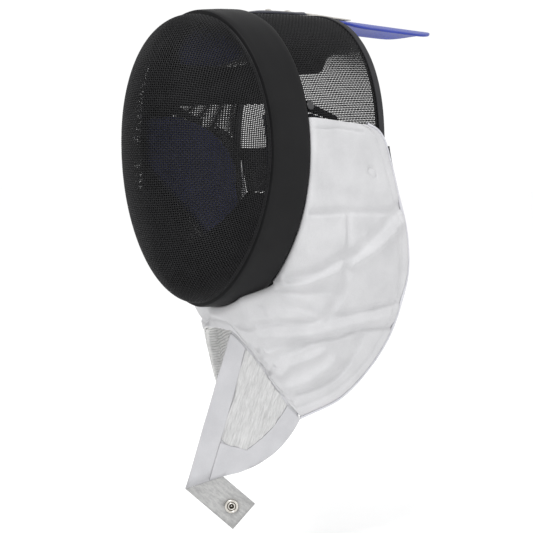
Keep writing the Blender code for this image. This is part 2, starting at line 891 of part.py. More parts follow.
def make_crown_pad(seat):
    """The pad inside the crown, narrow over the brow and wide over the head."""
    near = -(WIRE_WALL / 2.0 + PAD_CLEAR)
    far = near - CROWN_PAD_THICK
    outer, inner = [], []
    for k in range(11):
        depth = mix(FACE_SKIRT * 0.3, CROWN_PAD_BACK, k / 10.0)
        widen = smooth((depth - CROWN_PAD_BROW) / CROWN_PAD_WIDEN)
        reach = mix(CROWN_PAD_NARROW, CROWN_PAD_WIDE, widen)
        reach = radians(mix(reach, CROWN_PAD_REAR, smooth((depth - CROWN_PAD_STEP) / CROWN_PAD_TAPER)))
        outer.append([shell_offset(reach * (n / 6.0 - 1.0), depth, near) for n in range(13)])
        inner.append([shell_offset(reach * (n / 6.0 - 1.0), depth, far) for n in range(13)])
    return add_object("crown_pad", box_grid(outer, inner), black_pad(), seat)


def make_liner(seat, name, side):
    """The padded liner inside one side, from the face wire back past the ear."""
    near = -(WIRE_WALL / 2.0 + PAD_CLEAR)
    far = near - LINER_THICK
    outer, inner = [], []
    for share, low, high in LINER_OUTLINE:
        depth = LINER_BACK * share
        heights = [mix(-LINER_LOW * low, LINER_HIGH * high, k / 10.0) for k in range(11)]
        outer.append([side_point(depth, h, near, side) for h in heights])
        inner.append([side_point(depth, h, far, side) for h in heights])
    return add_object(name, box_grid(outer, inner), blue_pad(), seat)


def make_chin_pad(seat):
    """The pad inside the chin, on the face wire and a little way under the band."""
    near = -(WIRE_WALL / 2.0 + PAD_CLEAR)
    far = near - CHIN_PAD_THICK
    spread = radians(CHIN_PAD_SPREAD)
    outer, inner = [], []
    for k in range(17):
        angle = pi + spread * (k / 8.0 - 1.0)
        side = abs(k / 8.0 - 1.0)
        start = mix(CHIN_PAD_START, CHIN_PAD_END, side * side)
        runs = [mix(start, 0.97, n / 4.0) for n in range(5)]
        back = CHIN_PAD_BACK * mix(1.0, 0.3, side * side)
        backs = [back * share for share in (0.12, 0.5, 1.0)]
        row_out, row_in = [], []
        for run in runs:
            row_out.append(face_offset(angle, run, near))
            row_in.append(face_offset(angle, run, far))
        for depth in backs:
            row_out.append(shell_offset(angle, depth, near))
            row_in.append(shell_offset(angle, depth, far))
        outer.append(row_out)
        inner.append(row_in)
    return add_object("chin_pad", box_grid(outer, inner), black_pad(), seat)


def face_offset(angle, run, offset):
    """A point beside the face wire, offset outwards along its normal."""
    turn, step = 0.01, 0.01
    around = face_point(angle + turn, run) - face_point(angle - turn, run)
    out = face_point(angle, min(run + step, 1.0)) - face_point(angle, run - step)
    return face_point(angle, run) + around.cross(out).normalized() * offset


def make_brow_band(seat):
    """The band across the brow, from wall to wall, bowed forward in the middle."""
    outer, inner = [], []
    columns = 16
    clear = WIRE_WALL / 2.0 + GAP
    for row in range(4):
        height = BROW_LOW + BROW_HEIGHT * row / 3.0
        end = side_point(BROW_END, height, -clear, 1.0)
        front, back = [], []
        for k in range(columns + 1):
            u = 2.0 * k / columns - 1.0
            y = mix(BROW_FRONT, end.y, abs(u) ** 1.8)
            slope = (end.y - BROW_FRONT) * 1.8 * abs(u) ** 0.8 * (1.0 if u > 0 else -1.0) / end.x
            facing = Vector((slope, -1.0, 0.0)).normalized()
            spot = Vector((u * (end.x - BROW_THICK * 0.45), y, height))
            front.append(spot + facing * (BROW_THICK / 2.0))
            back.append(spot - facing * (BROW_THICK / 2.0))
        outer.append(front)
        inner.append(back)
    return add_object("brow_band", box_grid(outer, inner), black_pad(), seat)


def make_brow_pad(seat):
    """The pad that stands between the brow band and the crown pad."""
    outer, inner = [], []
    low = BROW_PAD_LOW
    under = WIRE_WALL / 2.0 + 2.0 * PAD_CLEAR + CROWN_PAD_THICK
    for k in range(13):
        x = BROW_PAD_HALF_WIDTH * (k / 6.0 - 1.0)
        half, top, bottom, top_power, bottom_power = shell_size(BROW_PAD_FRONT)
        wall = top * power_arc(x / half, top_power)
        step = 0.001
        slope = (top * power_arc((abs(x) + step) / half, top_power) - wall) / step
        high = wall - under * (1.0 + slope * slope) ** 0.5
        edge = power_arc(x / (BROW_PAD_HALF_WIDTH * 1.02), 3.0)
        foot = mix(mix(low, high, 0.5), low, edge)
        heights = [mix(foot, high, n / 5.0) for n in range(6)]
        outer.append([Vector((x, BROW_PAD_FRONT, z)) for z in heights])
        inner.append([Vector((x, BROW_PAD_FRONT + BROW_PAD_THICK, z)) for z in heights])
    return add_object("brow_pad", box_grid(outer, inner), blue_pad(), seat)


def liner_high(depth):
    """Height of the liner's top edge at this depth."""
    share = depth / LINER_BACK
    for a, b in zip(LINER_OUTLINE, LINER_OUTLINE[1:]):
        if share <= b[0]:
            return LINER_HIGH * mix(a[2], b[2], (share - a[0]) / (b[0] - a[0]))
    return LINER_HIGH * LINER_OUTLINE[-1][2]


def make_side_panel(seat, name, side):
    """The black cloth on the wall above the liner, with a slanted top edge."""
    near = -(WIRE_WALL / 2.0 + PAD_CLEAR)
    outer, inner = [], []
    for k in range(9):
        depth = mix(PANEL_FRONT, PANEL_BACK, k / 8.0)
        low = liner_high(depth) + 2.0 * GAP
        high = mix(PANEL_TOP_FRONT, PANEL_TOP_BACK, k / 8.0)
        heights = [mix(low, high, n / 3.0) for n in range(4)]
        outer.append([side_point(depth, h, near, side) for h in heights])
        inner.append([side_point(depth, h, near - PANEL_THICK, side) for h in heights])
    return add_object(name, box_grid(outer, inner), black_pad(), seat)


def make_head_strap(seat):
    """The elastic strap behind the head, from the corded edge of one ear to that of the other."""
    bm = bmesh.new()
    rows = []
    for place in HEAD_STRAP_PLACES:
        behind = 2.0 * WELT_RADIUS + 3.0 * GAP
        end = bib_point(place, 1.0) + edge_outward(place) * behind
        clear_of_trim = CROWN_DEPTH + TRIM_BULB + HEAD_STRAP_THICK + 2.0 * GAP
        start = max(end.y, clear_of_trim)
        row = []
        for k in range(15):
            u = k / 7.0 - 1.0
            bow = HEAD_STRAP_BOW * power_arc(u, 2.2)
            row.append(Vector((u * (end.x - HEAD_STRAP_THICK), start + bow, end.z)))
        rows.append(row)
    add_grid(bm, rows)
    return wall_of(add_object("head_strap", bm, black_pad(), seat), HEAD_STRAP_THICK)


def spring_height(depth):
    """Underside of the spring above the wire: close to it in front, over the trim behind."""
    over_trim = WIRE_WALL / 2.0 + 2.0 * GAP + TRIM_WALL + GAP / 2.0
    start = CROWN_DEPTH - TRIM_WIDTH - SPRING_CLIMB_START
    lift = smooth((depth - start) / SPRING_CLIMB)
    return mix(WIRE_WALL / 2.0 + GAP, over_trim, lift)


def tongue_crest(depth):
    """Top of the tongue on its centre line: a little under the crown, falling towards the tip."""
    share = (depth - CROWN_DEPTH - TONGUE_START) / TONGUE_LENGTH
    return CROWN_TOP + TONGUE_RISE - TONGUE_FALL * share


def spring_top(depth):
    """Top of the spring: on the crown, over the trim, then down onto the tongue."""
    over = CROWN_DEPTH + TRIM_BULB + GAP
    if depth <= over:
        base = shell_point(0.0, min(depth, CROWN_DEPTH))
        y = base.y + max(depth - CROWN_DEPTH, 0.0)
        return Vector((0.0, y, base.z + spring_height(depth) + SPRING_THICK))
    start = spring_top(over)
    lap = CROWN_DEPTH + TONGUE_START
    rest = tongue_crest(max(depth, lap)) + 1.5 * GAP + SPRING_THICK
    return Vector((0.0, depth, mix(start.z, rest, smooth((depth - over) / (lap - over)))))


def spring_places():
    """Depths along the spring, closer together where it bends."""
    climb = CROWN_DEPTH - TRIM_WIDTH - SPRING_CLIMB_START
    over = CROWN_DEPTH + TRIM_BULB + GAP
    lap = CROWN_DEPTH + TONGUE_START
    places = [mix(SPRING_FRONT, climb, k / 4.0) for k in range(5)]
    places += [climb + SPRING_CLIMB * k / 3.0 for k in (1, 2, 3)]
    places += [mix(over, lap, k / 5.0) for k in range(6)]
    return places + [mix(lap, lap + SPRING_LAP, 0.5), lap + SPRING_LAP]


def make_spring(seat):
    """The steel strip along the top of the crown that carries the tongue."""
    outer, inner = [], []
    sink = SPRING_WIDTH * SPRING_WIDTH / 8.0 / CROWN_HALF_WIDTH * 0.35
    for depth in spring_places():
        top = spring_top(depth)
        row_out, row_in = [], []
        for k in range(5):
            u = k / 2.0 - 1.0
            x = u * SPRING_WIDTH / 2.0
            z = top.z - sink * u * u
            row_out.append(Vector((x, top.y, z)))
            row_in.append(Vector((x, top.y, z - SPRING_THICK)))
        outer.append(row_out)
        inner.append(row_in)
    return add_object("tongue_spring", box_grid(outer, inner), steel(), seat, 30.0)


def tongue_half_width(share):
    """Half width along the tongue: full near the crown, rounded at the tip."""
    root = mix(0.62, 1.0, power_arc(1.0 - min(share / 0.16, 1.0), 2.2))
    tip = power_arc(max(share - TONGUE_ROUND, 0.0) / (1.0 - TONGUE_ROUND), 2.0)
    return TONGUE_HALF_WIDTH * root * max(tip, 0.05)


def make_tongue(seat):
    """The arched padded tongue that holds the back of the head."""
    root = CROWN_DEPTH + TONGUE_START
    steps, columns = 12, 10
    outer, inner = [], []
    for k in range(steps + 1):
        share = sin(k / steps * pi / 2.0) if k > steps * 0.5 else k / steps * sin(pi / 4.0) * 2.0
        share = min(share, 1.0)
        half = tongue_half_width(share)
        y = root + TONGUE_LENGTH * share
        crest = tongue_crest(y) - TONGUE_THICK / 2.0
        row_out, row_in = [], []
        for n in range(columns + 1):
            u = 2.0 * n / columns - 1.0
            x = u * half
            arch = TONGUE_ARCH * (x / TONGUE_HALF_WIDTH) ** 2
            slope = 2.0 * TONGUE_ARCH * x / TONGUE_HALF_WIDTH ** 2
            facing = Vector((slope, 0.0, 1.0)).normalized()
            mid = Vector((x, y, crest - arch))
            row_out.append(mid + facing * (TONGUE_THICK / 2.0))
            row_in.append(mid - facing * (TONGUE_THICK / 2.0))
        outer.append(row_out)
        inner.append(row_in)
    return add_object("tongue", box_grid(outer, inner), blue_vinyl(), seat)


def strap_base(across, depth):
    """Underside of the strap: over the spring in the middle, on the wire beside it."""
    wire = shell_point(0.0, depth)
    lifted = spring_height(depth) + SPRING_THICK + GAP
    past = (abs(across) - SPRING_WIDTH / 2.0) / (STRAP_WIDTH / 2.0 - SPRING_WIDTH / 2.0)
    rise = mix(lifted, WIRE_WALL / 2.0 + GAP, smooth(past * 1.2 - 0.2))
    if depth < SPRING_FRONT - GAP:
        rise = mix(WIRE_WALL / 2.0 + GAP, lifted, smooth((depth - SPRING_FRONT + STRAP_CLIMB_START) / STRAP_CLIMB))
        rise = min(rise, mix(lifted, WIRE_WALL / 2.0 + GAP, smooth(past * 1.2 - 0.2)))
    top = shell_size(depth)[1]
    power = shell_size(depth)[3]
    half = shell_size(depth)[0]
    drop = top * (1.0 - power_arc(across / half, power))
    return Vector((across, wire.y, wire.z - drop + rise))


def make_strap(seat):
    """The vinyl strap that holds the spring down on the crown."""
    outer, inner = [], []
    for k in range(9):
        depth = mix(STRAP_FRONT, STRAP_BACK, k / 8.0)
        low = [strap_base(STRAP_WIDTH / 2.0 * (n / 4.0 - 1.0), depth) for n in range(9)]
        inner.append(low)
        outer.append([p + Vector((0.0, 0.0, STRAP_THICK)) for p in low])
    return add_object("spring_strap", box_grid(outer, inner), blue_pad(), seat, 30.0)


def make_rivets(seat):
    """Two domed rivet heads that hold the strap and the spring to the crown."""
    for number, share in enumerate(RIVET_PLACES, 1):
        depth = mix(SPRING_FRONT, STRAP_BACK, share)
        up = Vector((0.0, 0.0, STRAP_THICK + GAP))
        foot = strap_base(0.0, depth) + up
        slope = strap_base(0.0, depth + RIVET_SPAN) - strap_base(0.0, depth - RIVET_SPAN)
        axis = Vector((1.0, 0.0, 0.0)).cross(slope).normalized()
        profile = (
            (0.0, 0.0),
            (RIVET_RADIUS, 0.0),
            (RIVET_RADIUS, RIVET_HEIGHT * 0.30),
            (RIVET_RADIUS * 0.80, RIVET_HEIGHT * 0.75),
            (RIVET_RADIUS * 0.42, RIVET_HEIGHT * 0.96),
            (0.0, RIVET_HEIGHT),
        )
        add_object(f"rivet_{number}", turned(profile, 14, foot, axis), steel(), seat)


def make_button(seat, name, side):
    """A round press button on the outside of the crown, above the bib's ear."""
    depth = BAND_WIDTH + BUTTON_BEHIND_BAND
    base = WIRE_WALL / 2.0 + GAP
    foot = side_point(depth, BUTTON_HEIGHT_UP, base, side)
    axis = side_point(depth, BUTTON_HEIGHT_UP, base + 0.01, side) - foot
    profile = (
        (0.0, 0.0),
        (BUTTON_RADIUS, 0.0),
        (BUTTON_RADIUS, BUTTON_HEIGHT * 0.5),
        (BUTTON_RADIUS * 0.85, BUTTON_HEIGHT * 0.9),
        (BUTTON_RADIUS * 0.55, BUTTON_HEIGHT),
        (0.0, BUTTON_HEIGHT * 0.82),
    )
    add_object(name, turned(profile, 14, foot, axis), black_vinyl(), seat)


def head_seat():
    """The spot on the underside of the crown pad where the head sits."""
    return shell_offset(0.0, CROWN_PAD_BACK * 0.40, -(WIRE_WALL / 2.0 + PAD_CLEAR + CROWN_PAD_THICK))


def main():
    for old in list(bpy.data.objects):
        bpy.data.objects.remove(old)
    seat = bpy.data.objects.new("mask", None)
    bpy.context.scene.collection.objects.link(seat)
    seat.location = -head_seat()

    make_face_mesh(seat)
    make_side_mesh(seat)
    make_rim_band(seat)
    make_rear_trim(seat)
    make_bib(seat)
    make_lining(seat)
    make_welt(seat, "bib_welt_left", 1.0)
    make_welt(seat, "bib_welt_right", -1.0)
    make_flap(seat)
    make_snap_tab(seat)
    make_snap(seat)
    make_crown_pad(seat)
    make_liner(seat, "liner_left", 1.0)
    make_liner(seat, "liner_right", -1.0)
    make_chin_pad(seat)
    make_brow_band(seat)
    make_brow_pad(seat)
    make_side_panel(seat, "side_panel_left", 1.0)
    make_side_panel(seat, "side_panel_right", -1.0)
    make_head_strap(seat)
    make_spring(seat)
    make_strap(seat)
    make_tongue(seat)
    make_rivets(seat)
    make_button(seat, "button_left", 1.0)
    make_button(seat, "button_right", -1.0)


main()
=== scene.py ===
"""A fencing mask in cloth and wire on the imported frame, with the photograph's camera and soft light."""

from math import acos, copysign, cos, exp, pi, radians, sin, tanh

import bmesh
import bpy
import numpy as np
from mathutils import Matrix, Vector, noise
from mathutils.kdtree import KDTree


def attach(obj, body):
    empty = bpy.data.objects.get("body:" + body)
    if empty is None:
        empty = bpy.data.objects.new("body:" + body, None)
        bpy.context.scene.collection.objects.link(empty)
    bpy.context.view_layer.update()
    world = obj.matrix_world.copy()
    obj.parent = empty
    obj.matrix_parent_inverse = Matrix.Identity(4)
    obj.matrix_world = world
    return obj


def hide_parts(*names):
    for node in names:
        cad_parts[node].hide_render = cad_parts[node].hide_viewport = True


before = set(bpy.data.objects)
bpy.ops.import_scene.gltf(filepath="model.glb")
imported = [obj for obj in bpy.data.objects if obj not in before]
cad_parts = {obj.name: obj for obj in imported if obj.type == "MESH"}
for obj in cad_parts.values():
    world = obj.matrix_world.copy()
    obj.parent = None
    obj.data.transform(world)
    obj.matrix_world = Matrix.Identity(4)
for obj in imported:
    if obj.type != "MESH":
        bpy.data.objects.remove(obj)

# Sizes and shares of the part's surfaces, in metres and degrees, measured in the rim's own frame.
# SEAT is the spot under the crown pad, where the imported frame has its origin.
SEAT = Vector((0.0, 0.058783, 0.131383))
RIM_HALF_WIDTH = 0.0945
RIM_TOP = 0.1355
RIM_BOTTOM = 0.1530
RIM_TOP_POWER = 2.05
RIM_BOTTOM_POWER = 1.82
RIM_SWEEP = 0.0115
RIM_LEAN = 0.004
DOME_DEPTH = 0.0830
DOME_POWER = 1.68
DOME_TOP_POWER = 2.15
DOME_BOTTOM_POWER = 2.0
WIRE_WALL = 0.0020
GAP = 0.0004
CROWN_DEPTH = 0.1660
CROWN_HALF_WIDTH = 0.1065
CROWN_TOP = 0.1465
CROWN_BOTTOM = 0.1550
CROWN_TOP_POWER = 2.4
CROWN_BOTTOM_POWER = 2.1
CHIN_DEPTH = 0.0660
CHIN_TURN_START = 100.0
CHIN_TURN_END = 176.0
BAND_WIDTH = 0.0500
BAND_THICK = 0.0042
TRIM_WALL = 0.0012
BIB_THICK = 0.0040
BIB_EAR_ANGLE = 78.0
BIB_FLARE = 0.0105
BIB_OVERHANG = 0.0310
BIB_DROP = 0.1230
BIB_CHIN_SEAM = 0.0240
BIB_BELLY = 0.0100
WELT_RADIUS = 0.0016
LINING_THICK = 0.0012
LINING_CLEAR = 0.0014
LINING_REACH = 0.70
LINING_SHARES = (0.10, 0.992)
BIB_CLEAR = 0.0006
FLAP_TOP_PLACE = 0.068
FLAP_LENGTH = 0.1750
FLAP_HANG = Vector((-0.269, -0.110, -0.957)).normalized()
FOLD_LENGTH = 0.0415
FOLD_SLANT = 33.0
TAB_THICK = 0.0016
TAB_RUN = Vector((0.520, 0.550, -0.653)).normalized()
SNAP_ALONG = 0.0270
SNAP_RADIUS = 0.0074
SNAP_HEIGHT = 0.0030
BIB_EAR_EDGE = (
    (1.00, 81.6, 0.800),
    (0.96, 84.0, 0.905),
    (0.92, 87.4, 0.970),
    (0.87, 93.0, 1.030),
)
BIB_FREE_EDGE = (
    (0.80, 0.974, 0.914, 0.138),
    (0.70, 0.991, 0.985, 0.290),
    (0.60, 0.991, 1.005, 0.446),
    (0.52, 0.949, 0.975, 0.580),
    (0.45, 0.889, 0.929, 0.696),
    (0.38, 0.786, 0.848, 0.812),
    (0.30, 0.632, 0.716, 0.931),
    (0.22, 0.453, 0.518, 1.000),
)
BIB_NOTCH_EDGE = (
    (0.22, 0.453, 0.518, 1.000),
    (0.18, 0.393, 0.416, 0.915),
    (0.13, 0.299, 0.310, 0.795),
    (0.08, 0.171, 0.193, 0.674),
    (0.04, 0.085, 0.167, 0.660),
    (0.00, 0.000, 0.157, 0.656),
)
BIB_FOLDS = (
    (0.74, 0.50, 0.050, 0.60, -0.50),
    (0.60, 0.55, 0.060, 0.50, 0.55),
    (0.47, 0.50, 0.040, 0.60, -0.55),
    (0.37, 0.60, 0.040, 0.50, 0.60),
    (0.28, 0.55, 0.030, 0.50, -0.45),
)
BAND_SECTION = (
    (0.000, 0.20),
    (0.010, 0.74),
    (0.060, 0.92),
    (0.500, 1.00),
    (0.940, 0.90),
    (0.992, 0.62),
    (1.000, 0.08),
    (0.920, 0.00),
    (0.080, 0.00),
)
FLAP_BOW = 0.0140
FLAP_EASE = 0.0600

# Shares at which one form passes into the next: where it starts, and the stretch that it takes
SEAM_UNDER = 0.20
SEAM_LIFT = 0.32
SEAM_BLEND = 0.12
BELLY_TOP = (0.92, 0.35)
BELLY_LOW = (0.20, 0.20)
NECK_DEPTH = 0.6

# Wire of the weave
PITCH = 0.0023
WIRE_RADIUS = 0.0006
WIRE_SIDES = 4
FACE_WIRES = 95
FEWEST_CROSSINGS = 3
RIM_RUNS = (0.99, 0.98, 0.97, 0.96)
RIM_STEPS = 240
EVEN_DEPTH = 0.6
TINY = 1e-12

# Vinyl band: its inner front lip as (share of the width, share of the thickness), and its unevenness
BAND_LIP = ((0.015, 0.0), (0.012, -0.45), (-0.010, -0.45))
BAND_ROUND = 256
BAND_STEPS = 4
BAND_WAVE = (0.0003, 0.025, (1.0, 1.0, 1.6))

# Seams and folds of the bib: width, height, then stops of (place along the bib, share across it)
BIB_LINES = (
    (0.0014, -0.0012, (0.96, 0.0), (0.96, 0.163), (0.965, 0.413), (0.955, 0.738)),
    (0.0022, -0.0034, (0.652, 0.044), (0.67, 0.164), (0.69, 0.314), (0.709, 0.522), (0.729, 0.786),
     (0.749, 0.975)),
    (0.0018, -0.0030, (0.69, 0.352), (0.633, 0.346), (0.588, 0.352), (0.554, 0.365)),
    (0.0030, -0.0048, (0.753, 0.962), (0.707, 0.78), (0.658, 0.616), (0.607, 0.484), (0.572, 0.409),
     (0.552, 0.365)),
    (0.0045, 0.0032, (0.715, 0.943), (0.664, 0.748), (0.611, 0.572), (0.572, 0.472), (0.544, 0.415)),
    (0.0030, -0.0046, (0.548, 0.34), (0.513, 0.283), (0.482, 0.233), (0.444, 0.176), (0.423, 0.138),
     (0.383, 0.069)),
    (0.0045, 0.0032, (0.525, 0.358), (0.487, 0.296), (0.45, 0.233), (0.411, 0.17), (0.375, 0.094),
     (0.356, 0.031)),
    (0.0034, -0.0042, (0.552, 0.403), (0.525, 0.39), (0.489, 0.409), (0.456, 0.434), (0.391, 0.434),
     (0.364, 0.453)),
    (0.0021, -0.0036, (0.13, 0.352), (0.214, 0.226), (0.246, 0.245), (0.283, 0.289), (0.352, 0.403),
     (0.379, 0.459), (0.413, 0.547), (0.448, 0.66), (0.483, 0.786), (0.515, 0.931)),
    (0.0048, 0.0024, (0.222, 0.302), (0.269, 0.365), (0.307, 0.415), (0.348, 0.484), (0.391, 0.579),
     (0.436, 0.717), (0.483, 0.912)),
    (0.0020, -0.0036, (0.106, 0.981), (0.197, 0.44), (0.236, 0.428), (0.293, 0.478), (0.328, 0.528),
     (0.364, 0.604), (0.391, 0.66), (0.419, 0.748), (0.444, 0.868), (0.468, 1.0)),
    (0.0032, -0.0050, (0.132, 0.994), (0.209, 0.547), (0.24, 0.503), (0.262, 0.497), (0.285, 0.491)),
    (0.0045, 0.0028, (0.191, 0.679), (0.248, 0.585), (0.281, 0.591), (0.315, 0.591)),
    (0.0027, -0.0046, (0.183, 1.0), (0.228, 0.824), (0.277, 0.843), (0.328, 0.824), (0.35, 0.805),
     (0.397, 0.742)),
    (0.0060, 0.0032, (0.232, 0.748), (0.26, 0.748), (0.291, 0.73), (0.32, 0.704)),
    (0.0028, -0.0024, (0.262, 0.107), (0.26, 0.164), (0.26, 0.239)),
    (0.0030, -0.0026, (0.324, 0.044), (0.358, 0.119), (0.381, 0.189), (0.407, 0.252), (0.434, 0.327),
     (0.452, 0.415)),
    (0.0028, -0.0022, (0.307, 0.17), (0.338, 0.233), (0.356, 0.314), (0.364, 0.409)),
    (0.0030, -0.0022, (0.684, 0.862), (0.639, 0.881), (0.592, 0.906), (0.548, 0.956), (0.523, 0.981)),
    (0.0012, -0.0014, (0.850, 0.713), (0.846, 0.75), (0.835, 0.765), (0.824, 0.75), (0.820, 0.713),
     (0.824, 0.676), (0.835, 0.661), (0.846, 0.676), (0.850, 0.713)),
)
LINE_STEPS = 24
LINE_REACH = 2.6

# A groove deeper than this is steep below its line and wide above it, by these factors of its width
GROOVE_EVEN = 0.0015
GROOVE_BELOW = 0.75
GROOVE_ABOVE = 2.2

# Deepest that a groove goes into the bib's wall, and the row of stitches along the free edge
BIB_GROOVE = 0.0032
STITCH_DEPTH = 0.0009
STITCH_INSET = 0.0105
STITCH_WIDTH = 0.0022

# Unevenness of the cloth, as height, scale and stretch: what fades out over the edge, and what doesn't
BIB_CALM_EDGE = 0.02
BIB_WAVES = (
    (0.0011, 0.045, (1.0, 1.0, 0.7)),
    (0.00045, 0.016, (1.6, 1.6, 0.8)),
)
BIB_FINE_WAVE = (0.00012, 0.006)
HEM_WAVES = ((0.00035, 0.012), (0.0003, 0.03))
PAD_WAVES = ((0.0007, 0.02), (0.0002, 0.006))

# Edges of the bib: how far its front edge tapers and turns in, and how round its free edge is
BIB_GRID = (410, 104)
BIB_TAPER = 0.0075
BIB_TAPER_DEPTH = 1.7
BIB_LIP = 0.0030
BIB_ROUND = 0.0016
BIB_EDGE_SQUARE = 0.04
BIB_LINED_NOTCH = 0.21

# Far half of the bib beside the notch: how far its edge stands out and its middle lies in, and where
FAR_EDGE_OUT = 0.0050
FAR_MIDDLE_IN = 0.0060
FAR_TOP = (0.28, 0.08)
FAR_LOW = (0.02, 0.06)

# Lining: how wide its closed edge is, how far it goes into the bib there, and how much it sags
LINING_GRID = (200, 40)
LINING_CLOSED = 0.06
LINING_INTO_BIB = 0.0006
LINING_SAG = 0.0007
LINING_SAG_SCALE = 0.02

# Corded edge
CORD_STEPS = 260
CORD_START = 0.9995
CORD_OUT = 0.8
CORD_SIDES = 10

# Crinkles of the stretch panel: height, width, length, and the slice of noise that they are cut from
CRINKLES = (
    (0.0010, 0.0026, 0.028, 3.0),
    (0.0009, 0.009, 0.03, 9.0),
)

# Backing of the flap
BACKING_GRID = (60, 36)
BACKING_SHARES = (0.015, 0.985)
BACKING_TOP = 0.972
BACKING_OFFSET = 0.0003
BACKING_HALF = 0.0002

# Finer copies of the part's nodes: what counts as one point, one face and a crisp edge
MERGE = 0.00001
JOIN_ANGLE = 50.0
CREASE_ANGLE = 32.0

# Press snap, as shares of its radius and its height, and the rings of faces that lie in its wells, which
# carry a dark painted shade
SNAP_STEPS = 64
SNAP_PROFILE = (
    (1.0, 0.0), (1.0, 0.45), (0.97, 0.75), (0.90, 0.95), (0.80, 1.0), (0.70, 0.93), (0.64, 0.72),
    (0.60, 0.55), (0.56, 0.62), (0.50, 0.92), (0.42, 0.98), (0.36, 0.90), (0.33, 0.55), (0.31, 0.10),
    (0.18, 0.08), (0.14, 0.35), (0.0, 0.38),
)
SNAP_WELLS = (6, 7, 11, 12, 13, 14)

# Materials: share of the grain in the tone, stops of the tones, detail of the noises and of a rib's waves
GRAIN_SHARE = 0.6
TONE_STOPS = (0.55, 1.05)
PATCH_DETAIL = 4.0
GRAIN_DETAIL = 3.0
RIB_DETAIL = 0.6

# Camera of the photograph, in the rim's frame, and the floor and the light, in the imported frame
CAMERA_TURN = 44.1496
CAMERA_RISE = 4.0076
CAMERA_ROLL = 0.4196
CAMERA_DISTANCE = 1.349133
CAMERA_AIM = (0.072329, -0.116507)
CAMERA_LENS = 89.9053
FLOOR = -0.575
FLOOR_REACH = 30
WORLD = 1.03
LIGHTS_AIM = Vector((0.0, 0.0, -0.2))
LIGHTS = (
    ("key", (0.7, -1.9, 2.2), 1.3, 66.0),
    ("fill", (2.3, 0.9, 0.6), 1.8, 8.0),
)


# Surfaces, as the part's source shapes them

def mix(start, end, share):
    return start + (end - start) * share


def smooth(share):
    share = min(max(share, 0.0), 1.0)
    return share * share * (3.0 - 2.0 * share)


def signed_power(value, power):
    return copysign(abs(value) ** power, value)


def rim_setback(height):
    """The rim's sides lie further back than its top and bottom, and its top leans forward."""
    share = height / RIM_BOTTOM
    return RIM_SWEEP * (1.0 - share * share) - RIM_LEAN * share


def shell_size(depth):
    """Half width, top, bottom and the two powers of the shell's section at this depth."""
    share = min(max(depth / CROWN_DEPTH, 0.0), 1.0)
    eased = sin(share * pi / 2.0)
    return (
        mix(RIM_HALF_WIDTH, CROWN_HALF_WIDTH, eased),
        mix(RIM_TOP, CROWN_TOP, eased),
        mix(RIM_BOTTOM, CROWN_BOTTOM, eased),
        mix(RIM_TOP_POWER, CROWN_TOP_POWER, share),
        mix(RIM_BOTTOM_POWER, CROWN_BOTTOM_POWER, share),
    )


def shell_point(angle, depth):
    """Middle of the wire at this angle from the top, towards +X, and this depth behind the rim."""
    half, top, bottom, top_power, bottom_power = shell_size(depth)
    above = cos(angle) > 0.0
    power = top_power if above else bottom_power
    x = half * signed_power(sin(angle), 2.0 / power)
    z = (top if above else bottom) * signed_power(cos(angle), 2.0 / power)
    fade = 1.0 - min(max(depth / CROWN_DEPTH, 0.0), 1.0)
    return Vector((x, depth + rim_setback(z) * fade, z))


def shell_offset(angle, depth, offset):
    """A point beside the shell, offset outwards along its normal."""
    turn, step = 0.01, 0.001
    around = shell_point(angle + turn, depth) - shell_point(angle - turn, depth)
    back = shell_point(angle, depth + step) - shell_point(angle, depth - step)
    if depth < step:
        back = shell_point(angle, depth + step) - shell_point(angle, depth)
    return shell_point(angle, depth) + around.cross(back).normalized() * offset


def crown_edge(angle):
    """Depth of the crown's rear edge: full over the head, short under the chin."""
    turned = abs(angle) * 180.0 / pi
    share = smooth((turned - CHIN_TURN_START) / (CHIN_TURN_END - CHIN_TURN_START))
    return mix(CROWN_DEPTH, CHIN_DEPTH, share)


def dome_depths(x, z):
    """Depths of the dome's wire at these positions, which may be arrays."""
    above = z > 0.0
    reach = np.where(above, RIM_TOP, RIM_BOTTOM)
    rim_power = np.where(above, RIM_TOP_POWER, RIM_BOTTOM_POWER)
    bow_power = np.where(above, DOME_TOP_POWER, DOME_BOTTOM_POWER)
    level = np.clip(np.abs(z) / reach, 0.0, 1.0)
    half = RIM_HALF_WIDTH * (1.0 - level ** rim_power) ** (1.0 / rim_power)
    bow = DOME_DEPTH * (1.0 - level ** bow_power) ** (1.0 / bow_power)
    share = np.clip(np.abs(x) / np.maximum(half, TINY), 0.0, 1.0)
    return rim_setback(z) - bow * (1.0 - share ** DOME_POWER) ** (1.0 / DOME_POWER)


def face_point(angle, run):
    """Face wire at this angle from the top, from the middle, run 0, towards the rim, run 1."""
    rim = shell_point(angle, 0.0)
    share = sin(run * pi / 2.0)
    x, z = rim.x * share, rim.z * share
    return Vector((x, dome_depths(x, z), z))


def spline(rows, place):
    """Smooth curve through rows of (place, values...), with place falling from row to row."""
    last = len(rows) - 1
    k = 0
    while k < last - 1 and place < rows[k + 1][0]:
        k += 1
    start, end = rows[k], rows[k + 1]
    share = (start[0] - place) / (start[0] - end[0])
    before, after = rows[max(k - 1, 0)], rows[min(k + 2, last)]
    found = []
    for n in range(1, len(start)):
        span = start[0] - end[0]
        slope_in = (end[n] - before[n]) / (before[0] - end[0]) * span
        slope_out = (after[n] - start[n]) / (start[0] - after[0]) * span
        s2, s3 = share * share, share ** 3
        found.append(
            start[n] * (2 * s3 - 3 * s2 + 1)
            + slope_in * (s3 - 2 * s2 + share)
            + end[n] * (3 * s2 - 2 * s3)
            + slope_out * (s3 - s2)
        )
    return found


def bib_clearance():
    """Middle of the bib's wall above the wire, where it passes over the rear trim."""
    return WIRE_WALL / 2.0 + GAP + TRIM_WALL + 2.0 * GAP + BIB_THICK / 2.0


